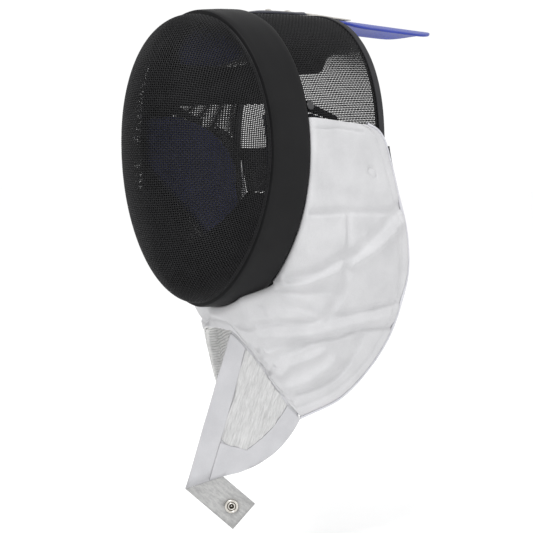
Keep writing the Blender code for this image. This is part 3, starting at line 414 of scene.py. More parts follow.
def seam_spot(place):
    """Angle and depth on the shell of the bib's front edge."""
    far = abs(place)
    angle = copysign(mix(pi, radians(BIB_EAR_ANGLE), far), place if place else 1.0)
    under = 1.0 - smooth((far - SEAM_UNDER) / SEAM_BLEND)
    return angle, mix(BAND_WIDTH + GAP + BIB_CLEAR, BIB_CHIN_SEAM, under)


def bib_seam(place):
    """Where the bib meets the rim band: behind it at the sides, and over its rear part at the chin."""
    angle, depth = seam_spot(place)
    lifted = 1.0 - smooth((abs(place) - SEAM_LIFT) / SEAM_BLEND)
    over_band = WIRE_WALL / 2.0 + BAND_THICK + 2.0 * GAP + BIB_THICK / 2.0 + BIB_CLEAR
    offset = mix(bib_clearance(), over_band, lifted)
    return shell_offset(angle, depth, offset)


def bib_edge(place):
    """Free edge of the bib: over the ear, down the back, along the bottom and up the notch."""
    far = abs(place)
    half = CROWN_HALF_WIDTH + BIB_FLARE
    reach = CROWN_DEPTH + BIB_OVERHANG
    drop = RIM_BOTTOM + BIB_DROP

    def hanging(shares):
        return Vector((half * shares[0], reach * shares[1], -drop * shares[2]))

    if far <= BIB_NOTCH_EDGE[0][0]:
        point = hanging(spline(BIB_NOTCH_EDGE, far))
    else:
        rows = []
        for station, angle, share in BIB_EAR_EDGE:
            ear = shell_offset(radians(angle), CROWN_DEPTH * share, bib_clearance() + GAP)
            rows.append((station, ear.x, ear.y, ear.z))
        for station, *shares in BIB_FREE_EDGE:
            low = hanging(shares)
            rows.append((station, low.x, low.y, low.z))
        point = Vector(spline(rows, far))
    point.x = copysign(point.x, place) if place else 0.0
    return point


def bib_fold(place, share):
    """Depth of the quilted folds at this spot, in metres outwards."""
    total = 0.0
    for along, across, half_long, half_wide, depth in BIB_FOLDS:
        near = 1.0 - min(abs(abs(place) - along) / half_long, 1.0)
        wide = 1.0 - min(abs(share - across) / half_wide, 1.0)
        total += smooth(near) * smooth(wide) * depth * BIB_THICK
    return total


def from_neck(point):
    """Level direction from the middle of the neck to this point."""
    neck = Vector((0.0, NECK_DEPTH * CROWN_DEPTH, point.z))
    return (point - neck).normalized()


def bib_point(place, share):
    """Middle of the bib's wall, from its seam, share 0, to its free edge, share 1."""
    seam, edge = bib_seam(place), bib_edge(place)
    point = seam.lerp(edge, share)
    below_ear = smooth((BELLY_TOP[0] - abs(place)) / BELLY_TOP[1])
    free = below_ear * smooth((abs(place) - BELLY_LOW[0]) / BELLY_LOW[1])
    return point + from_neck(point) * (sin(pi * share) * BIB_BELLY * free + bib_fold(place, share))


def edge_outward(place):
    """Direction away from the bib across its free edge."""
    side = copysign(1.0, place)
    edge = bib_point(place, 1.0)
    out = edge - bib_point(place, 0.97)
    ahead = side * min(abs(place) + 0.01, 1.0)
    along = (bib_point(ahead, 1.0) - bib_point(place - side * 0.01, 1.0)).normalized()
    return (out - along * out.dot(along)).normalized()


def flap_corners():
    """Top and bottom corners of the throat flap, which hangs from the left side of the bib's notch."""
    high = FLAP_TOP_PLACE
    low = BIB_NOTCH_EDGE[0][0]
    return bib_point(high, 1.0), bib_point(low, 1.0)


def flap_normal():
    top, low = flap_corners()
    return (low - top).cross(FLAP_HANG).normalized() * -1.0


def flap_front_line(share):
    """Front edge of the flap, from the chin down to the fold."""
    top, low = flap_corners()
    start = top + FLAP_HANG * (BIB_THICK / 2.0 + GAP)
    return start + FLAP_HANG * FLAP_LENGTH * share


def flap_inward():
    """Direction in the flap's plane, square to its front edge and towards the back."""
    inward = flap_normal().cross(FLAP_HANG).normalized()
    return inward if inward.y > 0.0 else -inward


def fold_direction():
    slant = radians(FOLD_SLANT)
    return flap_inward() * cos(slant) - FLAP_HANG * sin(slant)


def fold_line(share):
    """The slanted fold at the flap's lowest corner, where the snap tab starts."""
    return flap_front_line(1.0) + fold_direction() * FOLD_LENGTH * share


def flap_rear_line(share):
    """Lower edge of the flap, bowed, from the bib's low corner to the fold."""
    top, low = flap_corners()
    start = low + FLAP_HANG * (BIB_THICK / 2.0 + GAP)
    end = fold_line(1.0)
    chord = end - start
    bow = flap_normal().cross(chord).normalized()
    if bow.z > 0.0:
        bow = -bow
    return start + chord * share + bow * (4.0 * share * (1.0 - share) * FLAP_BOW)


def under_notch(point):
    """Moves a point of the flat flap so that its top edge follows the curved edge of the notch."""
    top, low = flap_corners()
    chord = low - top
    across = chord - FLAP_HANG * chord.dot(FLAP_HANG)
    share = (point - top).dot(across) / across.length_squared
    share = min(max(share, 0.0), 1.0)
    below = (point - top - chord * share).dot(FLAP_HANG)
    edge = bib_point(mix(FLAP_TOP_PLACE, BIB_NOTCH_EDGE[0][0], share), 1.0)
    fade = 1.0 - smooth(below / FLAP_EASE)
    return point + (edge - top - chord * share) * fade


def tab_normal():
    return TAB_RUN.cross(fold_direction()).normalized()


def tab_start(share):
    """Start of the tab, below the fold by enough to clear the hem's edge."""
    fold = fold_direction()
    tilt = acos(min(abs(flap_normal().dot(tab_normal())), 1.0))
    away = (TAB_RUN - fold * TAB_RUN.dot(fold)).normalized()
    clear = (GAP + TAB_THICK / 2.0 * sin(tilt)) / cos(tilt)
    return fold_line(share) + away * clear


def tab_skew():
    """How much further the tab's front edge runs than its rear edge, to end square."""
    return FOLD_LENGTH * TAB_RUN.dot(fold_direction())


def snap_centre():
    middle = tab_start(0.5) + TAB_RUN * (tab_skew() / 2.0)
    return middle + TAB_RUN * SNAP_ALONG


# Meshes

def add(name, data):
    """A new object of the scene with this data."""
    obj = bpy.data.objects.new(name, data)
    bpy.context.scene.collection.objects.link(obj)
    return obj


def put(name, points, faces, mat, slot, *nodes):
    """A smooth-shaded piece of the object, given in the rim's frame, in place of these CAD nodes."""
    mesh = bpy.data.meshes.new(name)
    mesh.from_pydata([tuple(p) for p in np.asarray(points, dtype=float) - np.array(SEAT)], [], faces)
    mesh.update()
    mesh.shade_smooth()
    mesh.materials.append(mat)
    return settle(add(name, mesh), nodes)


def settle(obj, nodes):
    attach(obj, "root")
    if nodes:
        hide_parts(*nodes)
    return obj


def slab(outer, inner):
    """Points and faces of a closed sheet between two grids of points."""
    rows, cols = len(outer), len(outer[0])
    points = [p for grid in (outer, inner) for row in grid for p in row]
    half = rows * cols

    def at(side, r, c):
        return side * half + r * cols + c

    faces = []
    for r in range(rows - 1):
        for c in range(cols - 1):
            faces.append((at(0, r, c), at(0, r + 1, c), at(0, r + 1, c + 1), at(0, r, c + 1)))
            faces.append((at(1, r, c), at(1, r, c + 1), at(1, r + 1, c + 1), at(1, r + 1, c)))
    for r in range(rows - 1):
        faces.append((at(0, r, 0), at(1, r, 0), at(1, r + 1, 0), at(0, r + 1, 0)))
        faces.append((at(0, r + 1, cols - 1), at(1, r + 1, cols - 1), at(1, r, cols - 1), at(0, r, cols - 1)))
    for c in range(cols - 1):
        faces.append((at(0, 0, c + 1), at(1, 0, c + 1), at(1, 0, c), at(0, 0, c)))
        faces.append((at(0, rows - 1, c), at(1, rows - 1, c), at(1, rows - 1, c + 1), at(0, rows - 1, c + 1)))
    return points, faces


def normals_of(grid):
    """Unit normals of a grid of points, as one array."""
    along = np.gradient(grid, axis=0)
    across = np.gradient(grid, axis=1)
    found = np.cross(along, across)
    return found / (np.linalg.norm(found, axis=2, keepdims=True) + TINY)


def tube_mesh(lines, radius, sides, closed=()):
    """Points and faces of tubes along lines of (points, normals), closed being the indexes of the rings."""
    points, faces = [], []
    count = 0
    turns = [2.0 * pi * k / sides for k in range(sides)]
    for index, (line, up) in enumerate(lines):
        line, up = np.array(line), np.array(up)
        ahead = np.gradient(line, axis=0)
        if index in closed:
            ahead = np.roll(line, -1, axis=0) - np.roll(line, 1, axis=0)
        ahead /= np.linalg.norm(ahead, axis=1, keepdims=True) + TINY
        beside = np.cross(ahead, up)
        beside /= np.linalg.norm(beside, axis=1, keepdims=True) + TINY
        above = np.cross(beside, ahead)
        ring = [line + radius * (cos(a) * above + sin(a) * beside) for a in turns]
        points.append(np.stack(ring, axis=1).reshape(-1, 3))
        total = len(line)
        for k in range(total if index in closed else total - 1):
            k2 = (k + 1) % total
            for s in range(sides):
                s2 = (s + 1) % sides
                face = (k * sides + s, k * sides + s2, k2 * sides + s2, k2 * sides + s)
                faces.append(tuple(count + v for v in face))
        count += total * sides
    return np.concatenate(points), faces


# Materials

def finish(
    name, dark, light, rough, patch, grain, height, metal=0.0, sheen=0.0, specular=0.5, ribs=(), pulled=None
):
    """A procedural surface: two tones in patches, a fine grain and, if wanted, ribs of a knit or a weave.

    A rib has an axis, a pitch, a depth and a waviness. Pulled is a direction and a factor: the patches and
    the grain are that much longer in this direction.
    """
    mat = bpy.data.materials.new(name)
    mat.use_nodes = True
    nodes, links = mat.node_tree.nodes, mat.node_tree.links
    shader = nodes["Principled BSDF"]
    place = nodes.new("ShaderNodeTexCoord")
    spots = place.outputs["Object"]
    if pulled:
        turned = nodes.new("ShaderNodeMapping")
        turned.vector_type = "TEXTURE"
        turned.inputs["Rotation"].default_value = pulled[0].to_track_quat("Z", "Y").to_euler()
        turned.inputs["Scale"].default_value = (1.0, 1.0, pulled[1])
        links.new(spots, turned.inputs["Vector"])
        spots = turned.outputs["Vector"]

    def noise_at(scale, detail):
        made = nodes.new("ShaderNodeTexNoise")
        made.inputs["Scale"].default_value = scale
        made.inputs["Detail"].default_value = detail
        links.new(spots, made.inputs["Vector"])
        return made

    patches, grains = noise_at(patch, PATCH_DETAIL), noise_at(grain, GRAIN_DETAIL)
    both = nodes.new("ShaderNodeMath")
    both.operation = "MULTIPLY_ADD"
    both.inputs[1].default_value = GRAIN_SHARE
    links.new(grains.outputs["Fac"], both.inputs[0])
    links.new(patches.outputs["Fac"], both.inputs[2])
    ramp = nodes.new("ShaderNodeValToRGB")
    ramp.color_ramp.elements[0].position = TONE_STOPS[0]
    ramp.color_ramp.elements[1].position = TONE_STOPS[1]
    ramp.color_ramp.elements[0].color = (*dark, 1.0)
    ramp.color_ramp.elements[1].color = (*light, 1.0)
    links.new(both.outputs[0], ramp.inputs["Fac"])
    links.new(ramp.outputs["Color"], shader.inputs["Base Color"])
    spread = nodes.new("ShaderNodeMapRange")
    spread.inputs["To Min"].default_value = rough[0]
    spread.inputs["To Max"].default_value = rough[1]
    links.new(patches.outputs["Fac"], spread.inputs["Value"])
    links.new(spread.outputs["Result"], shader.inputs["Roughness"])
    bump = nodes.new("ShaderNodeBump")
    bump.inputs["Strength"].default_value = 1.0
    bump.inputs["Distance"].default_value = height
    links.new(grains.outputs["Fac"], bump.inputs["Height"])
    last = bump
    for axis, pitch, depth, waviness in ribs:
        wave = nodes.new("ShaderNodeTexWave")
        wave.bands_direction = axis
        # Blender's wave texture turns by 20 radians a metre at scale 1.
        wave.inputs["Scale"].default_value = 2.0 * pi / (20.0 * pitch)
        wave.inputs["Distortion"].default_value = waviness
        wave.inputs["Detail Scale"].default_value = RIB_DETAIL
        links.new(spots, wave.inputs["Vector"])
        rib = nodes.new("ShaderNodeBump")
        rib.inputs["Distance"].default_value = depth
        links.new(wave.outputs["Fac"], rib.inputs["Height"])
        links.new(last.outputs["Normal"], rib.inputs["Normal"])
        last = rib
    links.new(last.outputs["Normal"], shader.inputs["Normal"])
    shader.inputs["Metallic"].default_value = metal
    shader.inputs["Sheen Weight"].default_value = sheen
    shader.inputs["Specular IOR Level"].default_value = specular
    return mat


WIRE = finish(
    "black_wire", (0.004, 0.004, 0.0045), (0.009, 0.009, 0.010), (0.38, 0.55), 60, 900, 0.00005,
    specular=0.22
)
VINYL = finish(
    "black_vinyl", (0.0045, 0.0045, 0.005), (0.0075, 0.0075, 0.008), (0.5, 0.62), 30, 1400, 0.00006,
    specular=0.13
)
BINDING = finish(
    "trim_vinyl", (0.016, 0.016, 0.018), (0.026, 0.026, 0.028), (0.55, 0.7), 40, 1200, 0.00008,
    specular=0.2
)
COTTON = finish(
    "white_cotton", (0.43, 0.43, 0.44), (0.49, 0.49, 0.50), (0.82, 0.95), 35, 1100, 0.00016,
    sheen=0.12, specular=0.2, ribs=(("X", 0.0011, 0.00005, 1.5), ("Z", 0.0011, 0.00005, 1.5))
)
CORD = finish(
    "white_cord", (0.47, 0.47, 0.50), (0.56, 0.56, 0.59), (0.7, 0.85), 60, 1500, 0.0001,
    specular=0.25, ribs=(("Z", 0.0012, 0.00012, 2.0),)
)
HEM = finish(
    "hem_cotton", (0.38, 0.38, 0.395), (0.435, 0.435, 0.45), (0.8, 0.92), 45, 1200, 0.00012,
    sheen=0.1, specular=0.2, ribs=(("Z", 0.0009, 0.00004, 1.0),)
)
LINING = finish(
    "grey_knit", (0.48, 0.48, 0.475), (0.62, 0.62, 0.61), (0.85, 0.95), 90, 1300, 0.0002,
    sheen=0.15, specular=0.15, ribs=(("Z", 0.0030, 0.0006, 0.7),)
)
# Stretch knit of the flap: its light and dark streaks, drawn out along the hang, are painted shade of the
# panel's crinkles over the knit's own grey
CRINKLE = finish(
    "stretch_knit_streak_shade", (0.38, 0.38, 0.38), (0.52, 0.52, 0.52), (0.82, 0.95), 700, 1500, 0.0008,
    sheen=0.15, specular=0.15, pulled=(FLAP_HANG, 9.0)
)
TABKNIT = finish(
    "tab_knit", (0.265, 0.265, 0.265), (0.38, 0.38, 0.375), (0.82, 0.95), 420, 1500, 0.0004,
    sheen=0.15, specular=0.15, pulled=(TAB_RUN, 3.0)
)
BLUE = finish(
    "blue_padding", (0.010, 0.014, 0.075), (0.018, 0.026, 0.13), (0.85, 0.95), 50, 1000, 0.00025,
    sheen=0.3, specular=0.15
)
BLACK = finish(
    "black_padding", (0.006, 0.006, 0.007), (0.013, 0.013, 0.015), (0.85, 0.95), 50, 1000, 0.00025,
    sheen=0.06, specular=0.12
)
ELASTIC = finish(
    "black_elastic", (0.010, 0.010, 0.011), (0.024, 0.024, 0.026), (0.75, 0.9), 80, 1300, 0.0001,
    specular=0.2, ribs=(("Z", 0.0022, 0.0003, 0.5),)
)
TONGUE = finish(
    "blue_vinyl", (0.006, 0.020, 0.21), (0.010, 0.030, 0.29), (0.32, 0.45), 25, 900, 0.00005,
    specular=0.35
)
STRAP = finish(
    "dark_vinyl", (0.006, 0.007, 0.016), (0.010, 0.012, 0.026), (0.4, 0.55), 40, 1000, 0.00006,
    specular=0.4
)
STEEL = finish(
    "nickel_steel", (0.42, 0.40, 0.37), (0.62, 0.60, 0.56), (0.22, 0.36), 120, 1500, 0.00002,
    metal=1.0
)
# Dark brownish metal for the snap's wells: painted shade of its recesses
WELL = finish(
    "snap_well_shade", (0.02, 0.017, 0.012), (0.06, 0.05, 0.035), (0.4, 0.6), 200, 1500, 0.00002,
    metal=0.6
)
HARD = finish(
    "black_plastic", (0.010, 0.010, 0.011), (0.020, 0.020, 0.022), (0.35, 0.5), 60, 1200, 0.00004
)


# Wire weave

def even_places(point, end, pitch):
    """Shares from 0 to end of a curve, this pitch apart along it, and the end left out."""
    steps = 1500
    samples = [point(end * k / steps) for k in range(steps + 1)]
    length, found, wanted = 0.0, [0.0], pitch
    for k in range(steps):
        part = (samples[k + 1] - samples[k]).length
        while length + part >= wanted:
            found.append(end * (k + (wanted - length) / part) / steps)
            wanted += pitch
        length += part
    return found


def dome_spots(turn, reach):
    """Points of the dome in these directions from its middle, this far along the wire, and whether inside."""
    x, z = np.cos(turn), np.sin(turn)
    power = np.where(z > 0.0, RIM_TOP_POWER, RIM_BOTTOM_POWER)
    tall = np.where(z > 0.0, RIM_TOP, RIM_BOTTOM)
    rim = ((np.abs(x) / RIM_HALF_WIDTH) ** power + (np.abs(z) / tall) ** power) ** (-1.0 / power)
    steps = np.sin(np.linspace(0.0, pi / 2.0, 160))[:, None]
    xs, zs = x * rim * steps, z * rim * steps
    ys = dome_depths(xs, zs)
    run = np.sqrt(np.diff(xs, axis=0) ** 2 + np.diff(ys, axis=0) ** 2 + np.diff(zs, axis=0) ** 2)
    run = np.concatenate([np.zeros((1, len(turn))), np.cumsum(run, axis=0)])
    found = np.empty((len(turn), 3))
    for k in range(len(turn)):
        along = min(reach[k], run[-1, k])
        found[k] = [np.interp(along, run[:, k], part[:, k]) for part in (xs, ys, zs)]
    return found, reach <= run[-1]


def face_weave():
    """The face's two families of wires, each over and under the other, evenly spaced over the dome."""
    reach = FACE_WIRES
    place, inner = {}, set()
    for i in range(-reach, reach + 1):
        js = np.arange(-reach, reach + 1)
        turn, length = np.arctan2(js, i), np.hypot(i, js) * PITCH
        found, inside = dome_spots(turn, length)
        for j, spot, held in zip(js, found, inside):
            place[i, int(j)] = spot
            if held:
                inner.add((i, int(j)))

    def facing(i, j):
        across = place[i + 1, j] - place[i - 1, j]
        up = place[i, j + 1] - place[i, j - 1]
        out = np.cross(across, up)
        size = np.linalg.norm(out)
        return out / size if size > TINY else np.array((0.0, -1.0, 0.0))

    for family, side, replaced in (("upright", 1.0, ("face_mesh",)), ("level", -1.0, ())):
        lines = []
        for a in range(1 - reach, reach):
            keys = [(a, b) if family == "upright" else (b, a) for b in range(1 - reach, reach)]
            held = [k for k, key in enumerate(keys) if key in inner]
            if len(held) < FEWEST_CROSSINGS:
                continue
            chosen = keys[max(held[0] - 1, 0) : held[-1] + 2]
            ups = [facing(*key) for key in chosen]
            points = []
            for (i, j), up in zip(chosen, ups):
                lift = side * WIRE_RADIUS * (1.0 if (i + j) % 2 else -1.0)
                points.append(place[i, j] + up * (lift if (i, j) in inner else 0.0))
            lines.append((points, ups))
        points, faces = tube_mesh(lines, WIRE_RADIUS, WIRE_SIDES)
        put("face_wires_" + family, points, faces, WIRE, "face_wire", *replaced)
    turns = [2.0 * pi * k / RIM_STEPS - pi for k in range(RIM_STEPS)]
    rim = [shell_point(a, 0.0) for a in turns]
    out = [(shell_offset(a, 0.0, 1.0) - p).normalized() for a, p in zip(turns, rim)]
    points, faces = tube_mesh([(rim, out)], 2.0 * WIRE_RADIUS, 2 * WIRE_SIDES, (0,))
    put("face_rim_wire", points, faces, WIRE, "face_wire")
    rings = [([face_point(a, run) for a in turns], out) for run in RIM_RUNS]
    points, faces = tube_mesh(rings, WIRE_RADIUS, WIRE_SIDES, range(len(rings)))
    put("face_edge_wires", points, faces, WIRE, "face_wire")


def crown_weave():
    """The crown's wires: one family from front to back, the other round the head."""
    round_at = even_places(lambda a: shell_point(a, EVEN_DEPTH * CROWN_DEPTH), pi, PITCH)
    turns = [-a for a in reversed(round_at[1:])] + round_at
    start = WIRE_RADIUS
    stations = int((CROWN_DEPTH - start) / PITCH)
    place, normal = {}, {}
    for i, angle in enumerate(turns):
        edge = crown_edge(angle) - WIRE_RADIUS
        for j in range(stations + 1):
            depth = start + PITCH * j
            if depth > edge:
                continue
            here = shell_point(angle, depth)
            place[i, j] = here
            normal[i, j] = (shell_offset(angle, depth, 1.0) - here).normalized()
    lengthways, round_ways, closed = [], [], []
    for i, angle in enumerate(turns):
        found = [j for j in range(stations + 1) if (i, j) in place]
        points = [place[i, j] + normal[i, j] * (WIRE_RADIUS * (1 if (i + j) % 2 else -1)) for j in found]
        lengthways.append((points, [normal[i, j] for j in found]))
    for j in range(stations + 1):
        found = [i for i in range(len(turns)) if (i, j) in place]
        if len(found) < FEWEST_CROSSINGS:
            continue
        points = [place[i, j] - normal[i, j] * (WIRE_RADIUS * (1 if (i + j) % 2 else -1)) for i in found]
        if len(found) == len(turns):
            closed.append(len(round_ways))
        round_ways.append((points, [normal[i, j] for i in found]))
    points, faces = tube_mesh(lengthways, WIRE_RADIUS, WIRE_SIDES)
    put("crown_wires_lengthways", points, faces, WIRE, "crown_wire", "side_mesh")
    points, faces = tube_mesh(round_ways, WIRE_RADIUS, WIRE_SIDES, closed)
    put("crown_wires_round", points, faces, WIRE, "crown_wire")


def make_band():
    """The padded vinyl band, with rounded edges and a slight unevenness of its stuffing."""
    base = WIRE_WALL / 2.0 + GAP
    section = []
    lipped = BAND_SECTION + BAND_LIP
    for (u0, h0), (u1, h1) in zip(lipped, lipped[1:] + lipped[:1]):
        for k in range(BAND_STEPS):
            section.append((mix(u0, u1, k / BAND_STEPS), mix(h0, h1, k / BAND_STEPS)))
    count, around = len(section), BAND_ROUND
    height, scale, stretch = BAND_WAVE
    points, faces = [], []
    for r in range(around):
        angle = 2.0 * pi * r / around - pi
        for u, h in section:
            spot = shell_offset(angle, BAND_WIDTH * u, base + BAND_THICK * h)
            soft = height * wrinkle(spot, scale, stretch) if h > 0.5 else 0.0
            points.append(shell_offset(angle, BAND_WIDTH * u, base + BAND_THICK * h + soft))
    for r in range(around):
        r2 = (r + 1) % around
        for c in range(count):
            c2 = (c + 1) % count
            faces.append((r * count + c, r * count + c2, r2 * count + c2, r2 * count + c))
    put("vinyl_band", points, faces, VINYL, "band_vinyl", "rim_band")


# Cloth

def wrinkle(point, scale, stretch=(1.0, 1.0, 1.0)):
    """Smooth noise from -1 to 1 at this scale in metres, stretched along the axes."""
    return noise.noise(Vector(point[k] / (scale * stretch[k]) for k in range(3)))


def waves(point, table):
    return sum(height * wrinkle(point, scale) for height, scale in table)


def hung_point(place, share):
    """The bib's wall as it hangs: as sewn, but for the far half beside the notch, which is drawn flat."""
    point = bib_point(place, share)
    if place >= 0.0:
        return point
    far = -place
    loose = smooth((FAR_TOP[0] - far) / FAR_TOP[1]) * smooth((far - FAR_LOW[0]) / FAR_LOW[1])
    return point + from_neck(point) * (loose * (FAR_EDGE_OUT * share ** 3 - FAR_MIDDLE_IN * sin(pi * share)))


def line_trees():
    """For each seam and fold its width, its height and a search tree of the spots along it."""
    trees = []
    for width, height, *stops in BIB_LINES:
        samples = []
        for start, end in zip(stops, stops[1:]):
            for k in range(LINE_STEPS + 1):
                share = k / LINE_STEPS
                samples.append(bib_point(mix(start[0], end[0], share), mix(start[1], end[1], share)))
        tree = KDTree(len(samples))
        for k, sample in enumerate(samples):
            tree.insert(sample, k)
        tree.balance()
        trees.append((width, height, tree))
    return trees


def line_height(point, trees):
    """Height of the seams and folds at this spot of the near half."""
    total = 0.0
    for width, height, tree in trees:
        stitch, _, apart = tree.find(point)
        if height < -GROOVE_EVEN:
            above = smooth((point.z - stitch.z) / (2.0 * width) + 0.5)
            apart /= mix(GROOVE_BELOW, GROOVE_ABOVE, above)
        if apart < LINE_REACH * width:
            total += height * exp(-(apart / width) ** 2)
    return total


def bib_relief(grid, places, shares):
    """Height of the quilting, folds and stitching on the bib, in metres. Both halves have the same seams."""
    trees = line_trees()
    relief = np.zeros(grid.shape[:2])
    for r in range(len(places)):
        across = float(np.linalg.norm(grid[r, -1] - grid[r, 0]))
        for c, share in enumerate(shares):
            spot = tuple(grid[r, c])
            total = line_height(Vector((abs(spot[0]), spot[1], spot[2])), trees)
            from_edge = (1.0 - share) * across
            total -= STITCH_DEPTH * exp(-((from_edge - STITCH_INSET) / STITCH_WIDTH) ** 2)
            calm = smooth(from_edge / BIB_CALM_EDGE)
            for height, scale, stretch in BIB_WAVES:
                total += height * calm * wrinkle(spot, scale, stretch)
            total += waves(spot, (BIB_FINE_WAVE,))
            relief[r, c] = total if total > 0.0 else BIB_GROOVE * tanh(total / BIB_GROOVE)
    return relief


def make_bib():
    """The bib's wall: turned in along its front edge, round at its free edge and lined at the notch."""
    rows, cols = BIB_GRID
    places = [-1.0 + 2.0 * r / rows for r in range(rows + 1)]
    shares = [c / cols for c in range(cols + 1)]
    grid = np.array([[tuple(hung_point(p, s)) for s in shares] for p in places])
    normal = normals_of(grid)
    if normal[rows * 3 // 4, cols // 2, 0] < 0.0:
        normal = -normal
    relief = bib_relief(grid, places, shares)[:, :, None]
    across = np.linalg.norm(grid[:, -1] - grid[:, 0], axis=1)[:, None]
    run = np.array([shares]) * across
    round_off = 1.0 - np.clip((across - run) / BIB_ROUND, 0.0, 1.0)
    rim = np.sqrt(np.maximum(1.0 - round_off ** 2, BIB_EDGE_SQUARE))[:, :, None]
    taper = 1.0 - np.clip(run / BIB_TAPER, 0.0, 1.0)
    sunk = BIB_TAPER_DEPTH * (1.0 - np.sqrt(1.0 - taper ** 2))[:, :, None]
    facing = np.array([tuple(seam_facing(p)) for p in places])
    lean = 1.0 - np.abs(np.sum(facing * normal[:, 0], axis=1))
    turned = np.array([turned_under(p) for p in places])
    fade = (1.0 - np.clip(run / BIB_LIP, 0.0, 1.0))[:, :, None] * facing[:, None, :]
    relief = relief * (1.0 - taper[:, :, None])
    outer = grid + normal * (BIB_THICK / 2.0 * (rim - sunk) + relief)
    outer -= fade * (lean * (turned + BIB_THICK / 2.0))[:, None, None]
    inner = grid - normal * (BIB_THICK / 2.0 * rim)
    inner -= fade * (turned + lean * BIB_THICK / 2.0)[:, None, None]
    points, faces = slab([list(row) for row in outer], [list(row) for row in inner])
    made = put("quilted_bib", points, faces, COTTON, "bib_cloth", "bib")
    made.data.materials.append(LINING)
    half = (rows + 1) * (cols + 1)
    for face in made.data.polygons:
        spots = [divmod(v % half, cols + 1) for v in face.vertices]
        if all(abs(places[r]) < BIB_LINED_NOTCH and c >= cols - 1 for r, c in spots):
            face.material_index = 1


def seam_facing(place):
    """Outward direction of the shell under the bib's front edge."""
    angle, depth = seam_spot(place)
    return (shell_offset(angle, depth, 1.0) - shell_point(angle, depth)).normalized()


def turned_under(place):
    """How far the bib's front edge is turned in, so that it closes on the band or on the crown's wire."""
    far = abs(place)
    over_band = 0.75 * GAP + BIB_CLEAR
    high = mix(over_band + BAND_THICK, TRIM_WALL + 1.2 * GAP, smooth((far - SEAM_LIFT) / SEAM_BLEND))
    return over_band if far < SEAM_LIFT else high


def make_lining():
    """The ribbed knit inside the bib, its edge closed against the bib's."""
    rows, cols = LINING_GRID
    places = [-LINING_REACH + 2.0 * LINING_REACH * r / rows for r in range(rows + 1)]
    shares = [mix(*LINING_SHARES, c / cols) for c in range(cols + 1)]
    grid = np.array([[tuple(hung_point(p, s)) for s in shares] for p in places])
    normal = normals_of(grid)
    if normal[rows * 3 // 4, cols // 2, 0] < 0.0:
        normal = -normal
    inside_edge = [smooth((1.0 - s) / LINING_CLOSED) for s in shares]
    closed, clear = BIB_THICK / 2.0 - LINING_INTO_BIB, BIB_THICK / 2.0 + LINING_CLEAR
    apart = np.array([[mix(closed, clear, n) for n in inside_edge]])[:, :, None]
    sag = np.array([[LINING_SAG * wrinkle(p, LINING_SAG_SCALE) for p in row] for row in grid])[:, :, None]
    outer = grid - normal * apart
    inner = grid - normal * (apart + LINING_THICK + LINING_SAG + sag)
    points, faces = slab([list(row) for row in outer], [list(row) for row in inner])
    made = put("knit_lining", points, faces, LINING, "lining_knit", "bib_lining")


def make_welts():
    """The cord along each half's free edge, from the ear to the low corner."""
    corner = BIB_NOTCH_EDGE[0][0]
    for side, name in ((1.0, "left"), (-1.0, "right")):
        line, ups = [], []
        for k in range(CORD_STEPS + 1):
            place = mix(CORD_START, corner, k / CORD_STEPS)
            out = edge_outward(side * place)
            line.append(hung_point(side * place, 1.0) + out * (CORD_OUT * WELT_RADIUS))
            ups.append(out)
        points, faces = tube_mesh([(line, ups)], WELT_RADIUS, CORD_SIDES)
        put("corded_edge_" + name, points, faces, CORD, "welt_cloth", "bib_welt_" + name)


def soft_copy(node, name, mat, levels=2, relief=None, crisp=1.0):
    """A finer copy of a CAD node, its edges as crisp as asked, with a relief in metres along its normals."""
    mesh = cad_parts[node].data.copy()
    mesh.name = name
    work = bmesh.new()
    work.from_mesh(mesh)
    bmesh.ops.remove_doubles(work, verts=work.verts, dist=MERGE)
    limit = radians(JOIN_ANGLE)
    bmesh.ops.join_triangles(work, faces=work.faces, angle_face_threshold=limit, angle_shape_threshold=limit)
    creases = work.edges.layers.float.new("crease_edge")
    for edge in work.edges:
        if edge.calc_face_angle(pi) > radians(CREASE_ANGLE):
            edge[creases] = crisp
    work.to_mesh(mesh)
    work.free()
    obj = add(name, mesh)
    rounder = obj.modifiers.new("round", "SUBSURF")
    rounder.levels = levels
    rounder.render_levels = levels
    view = bpy.context.evaluated_depsgraph_get()
    fine = bpy.data.meshes.new_from_object(obj.evaluated_get(view))
    obj.modifiers.clear()
    obj.data = fine
    fine.materials.clear()
    fine.materials.append(mat)
    if relief:
        normals = [v.normal.copy() for v in fine.vertices]
        for vertex, normal in zip(fine.vertices, normals):
            vertex.co += normal * relief(vertex.co + SEAT)
    fine.update()
    fine.shade_smooth()
    return settle(obj, (node,))


def crinkles(point):
    side = point.dot(flap_inward())
    down = point.dot(FLAP_HANG)
    return sum(
        height * noise.noise(Vector((side / wide, down / tall, cut))) for height, wide, tall, cut in CRINKLES
    )


def hem_waves(point):
    return waves(point, HEM_WAVES)


def pad_puff(point):
    return waves(point, PAD_WAVES)


def make_flap():
    """The throat flap: its two hems, the stretch panel between them, the layer behind and the folded tab."""
    hem = soft_copy("flap_front_hem", "front_hem", HEM, 3, hem_waves)
    low = soft_copy("flap_lower_hem", "lower_hem", HEM, 3, hem_waves)
    panel = soft_copy("flap_panel", "stretch_panel", CRINKLE, 4, crinkles)
    make_backing()
    tab = soft_copy("snap_tab", "snap_tab_knit", TABKNIT, 1)


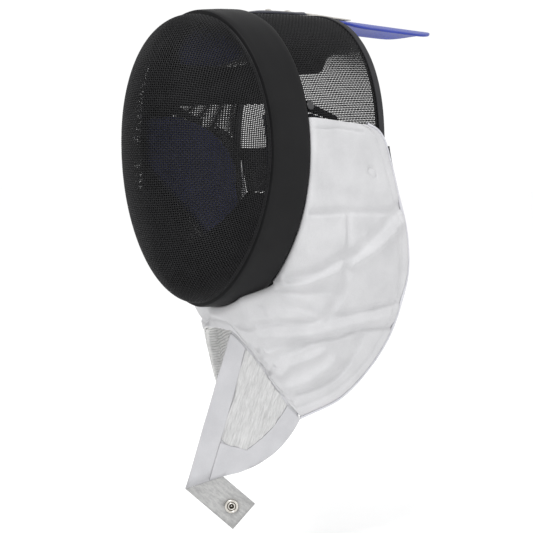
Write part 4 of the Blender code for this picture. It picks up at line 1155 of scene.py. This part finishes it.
def make_backing():
    """The flap's inner layer, which its hems and its stretch panel are sewn to, up into the bib's edge."""
    out = flap_normal()
    inside = out * copysign(BACKING_OFFSET, out.y)
    rows, cols = BACKING_GRID
    shares = [mix(*BACKING_SHARES, c / cols) for c in range(cols + 1)]
    corner = BIB_NOTCH_EDGE[0][0]
    grid = [[tuple(bib_point(mix(FLAP_TOP_PLACE, corner, share), BACKING_TOP)) for share in shares]]
    for r in range(rows + 1):
        down = r / rows * BACKING_SHARES[1]
        front, rear = flap_front_line(down), flap_rear_line(down)
        grid.append([tuple(under_notch(front.lerp(rear, share)) + inside) for share in shares])
    grid = np.array(grid)
    step = normals_of(grid) * BACKING_HALF
    points, faces = slab([list(row) for row in grid + step], [list(row) for row in grid - step])
    put("flap_backing", points, faces, HEM, "hem_cloth")


def make_snap():
    """The socket of a press snap: a rolled outer ring, a well and a sprung centre."""
    centre, axis = snap_centre(), tab_normal()
    side = axis.orthogonal().normalized()
    other = axis.cross(side)
    base = TAB_THICK / 2.0 + 0.75 * GAP
    points, faces = [], []
    steps = SNAP_STEPS
    for radius, height in SNAP_PROFILE:
        for k in range(steps):
            turn = 2.0 * pi * k / steps
            spot = side * cos(turn) + other * sin(turn)
            points.append(centre + spot * (radius * SNAP_RADIUS) + axis * (base + height * SNAP_HEIGHT))
    for p in range(len(SNAP_PROFILE) - 1):
        for k in range(steps):
            k2 = (k + 1) % steps
            faces.append((p * steps + k, p * steps + k2, (p + 1) * steps + k2, (p + 1) * steps + k))
    made = put("snap_socket", points, faces, STEEL, "snap_steel", "snap")
    # The faces in the wells take the dark metal, as painted shade
    made.data.materials.append(WELL)
    for index, face in enumerate(made.data.polygons):
        face.material_index = 1 if index // steps in SNAP_WELLS else 0


# Stage, light and camera

def make_stage():
    floor = bpy.data.meshes.new("floor")
    corners = [(x * FLOOR_REACH, y * FLOOR_REACH, FLOOR) for x, y in ((-1, -1), (1, -1), (1, 1), (-1, 1))]
    floor.from_pydata(corners, [], [(0, 1, 2, 3)])
    paper = finish(
        "floor_paper", (0.97, 0.97, 0.97), (0.99, 0.99, 0.99), (0.85, 0.95), 2, 40, 0.0002, specular=0.1
    )
    floor.materials.append(paper)
    add("floor", floor)
    world = bpy.data.worlds.new("studio")
    bpy.context.scene.world = world
    world.use_nodes = True
    world.node_tree.nodes["Background"].inputs["Color"].default_value = (1.0, 1.0, 1.0, 1.0)
    world.node_tree.nodes["Background"].inputs["Strength"].default_value = WORLD
    for name, spot, size, power in LIGHTS:
        lamp = bpy.data.lights.new(name, "AREA")
        lamp.shape = "DISK"
        lamp.size = size
        lamp.energy = power
        obj = add(name, lamp)
        obj.location = spot
        aim = LIGHTS_AIM - Vector(spot)
        obj.rotation_euler = aim.to_track_quat("-Z", "Y").to_euler()
    bpy.context.scene.view_settings.view_transform = "Standard"


def make_camera():
    """The photograph's camera: its angle from the front, its height, its roll and its distance."""
    turn, rise, roll = radians(CAMERA_TURN), radians(CAMERA_RISE), radians(CAMERA_ROLL)
    back = Vector((sin(turn) * cos(rise), -cos(turn) * cos(rise), sin(rise)))
    level = Vector((cos(turn), sin(turn), 0.0))
    up = back.cross(level)
    right = level * cos(roll) + up * sin(roll)
    up = up * cos(roll) - level * sin(roll)
    target = Vector((0.0, 0.0, CAMERA_AIM[1])) + right * CAMERA_AIM[0] - SEAT
    lens = bpy.data.cameras.new("camera")
    lens.sensor_width = 36.0
    lens.lens = CAMERA_LENS
    obj = add("camera", lens)
    spot = target + back * CAMERA_DISTANCE
    rows = [(right[k], up[k], back[k], spot[k]) for k in range(3)] + [(0.0, 0.0, 0.0, 1.0)]
    obj.matrix_world = Matrix(rows)
    bpy.context.scene.camera = obj


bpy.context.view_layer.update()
make_camera()
make_stage()
face_weave()
crown_weave()
make_bib()
make_lining()
make_welts()
make_flap()
make_snap()
make_band()

soft_copy("rear_trim", "rear_binding", BINDING, 2)
for node, name, mat, slot in (
    ("crown_pad", "crown_padding", BLACK, "pad_black"),
    ("chin_pad", "chin_padding", BLACK, "pad_black"),
    ("brow_pad", "brow_padding", BLUE, "pad_blue"),
    ("liner_left", "left_liner", BLUE, "pad_blue"),
    ("liner_right", "right_liner", BLUE, "pad_blue"),
    ("brow_band", "brow_webbing", BLACK, "pad_black"),
):
    soft_copy(node, name, mat, 2, pad_puff, 0.35)
soft_copy("tongue", "tongue_vinyl", TONGUE, 2, None, 0.2)
soft_copy("head_strap", "head_elastic", ELASTIC, 2)
for side in ("left", "right"):
    soft_copy("side_panel_" + side, "cloth_panel_" + side, BLACK, 2)
for node, mat in (
    ("button_left", HARD),
    ("button_right", HARD),
    ("tongue_spring", STEEL),
    ("spring_strap", STRAP),
    ("rivet_1", STEEL),
    ("rivet_2", STEEL),
):
    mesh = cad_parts[node].data
    mesh.materials.clear()
    mesh.materials.append(mat)
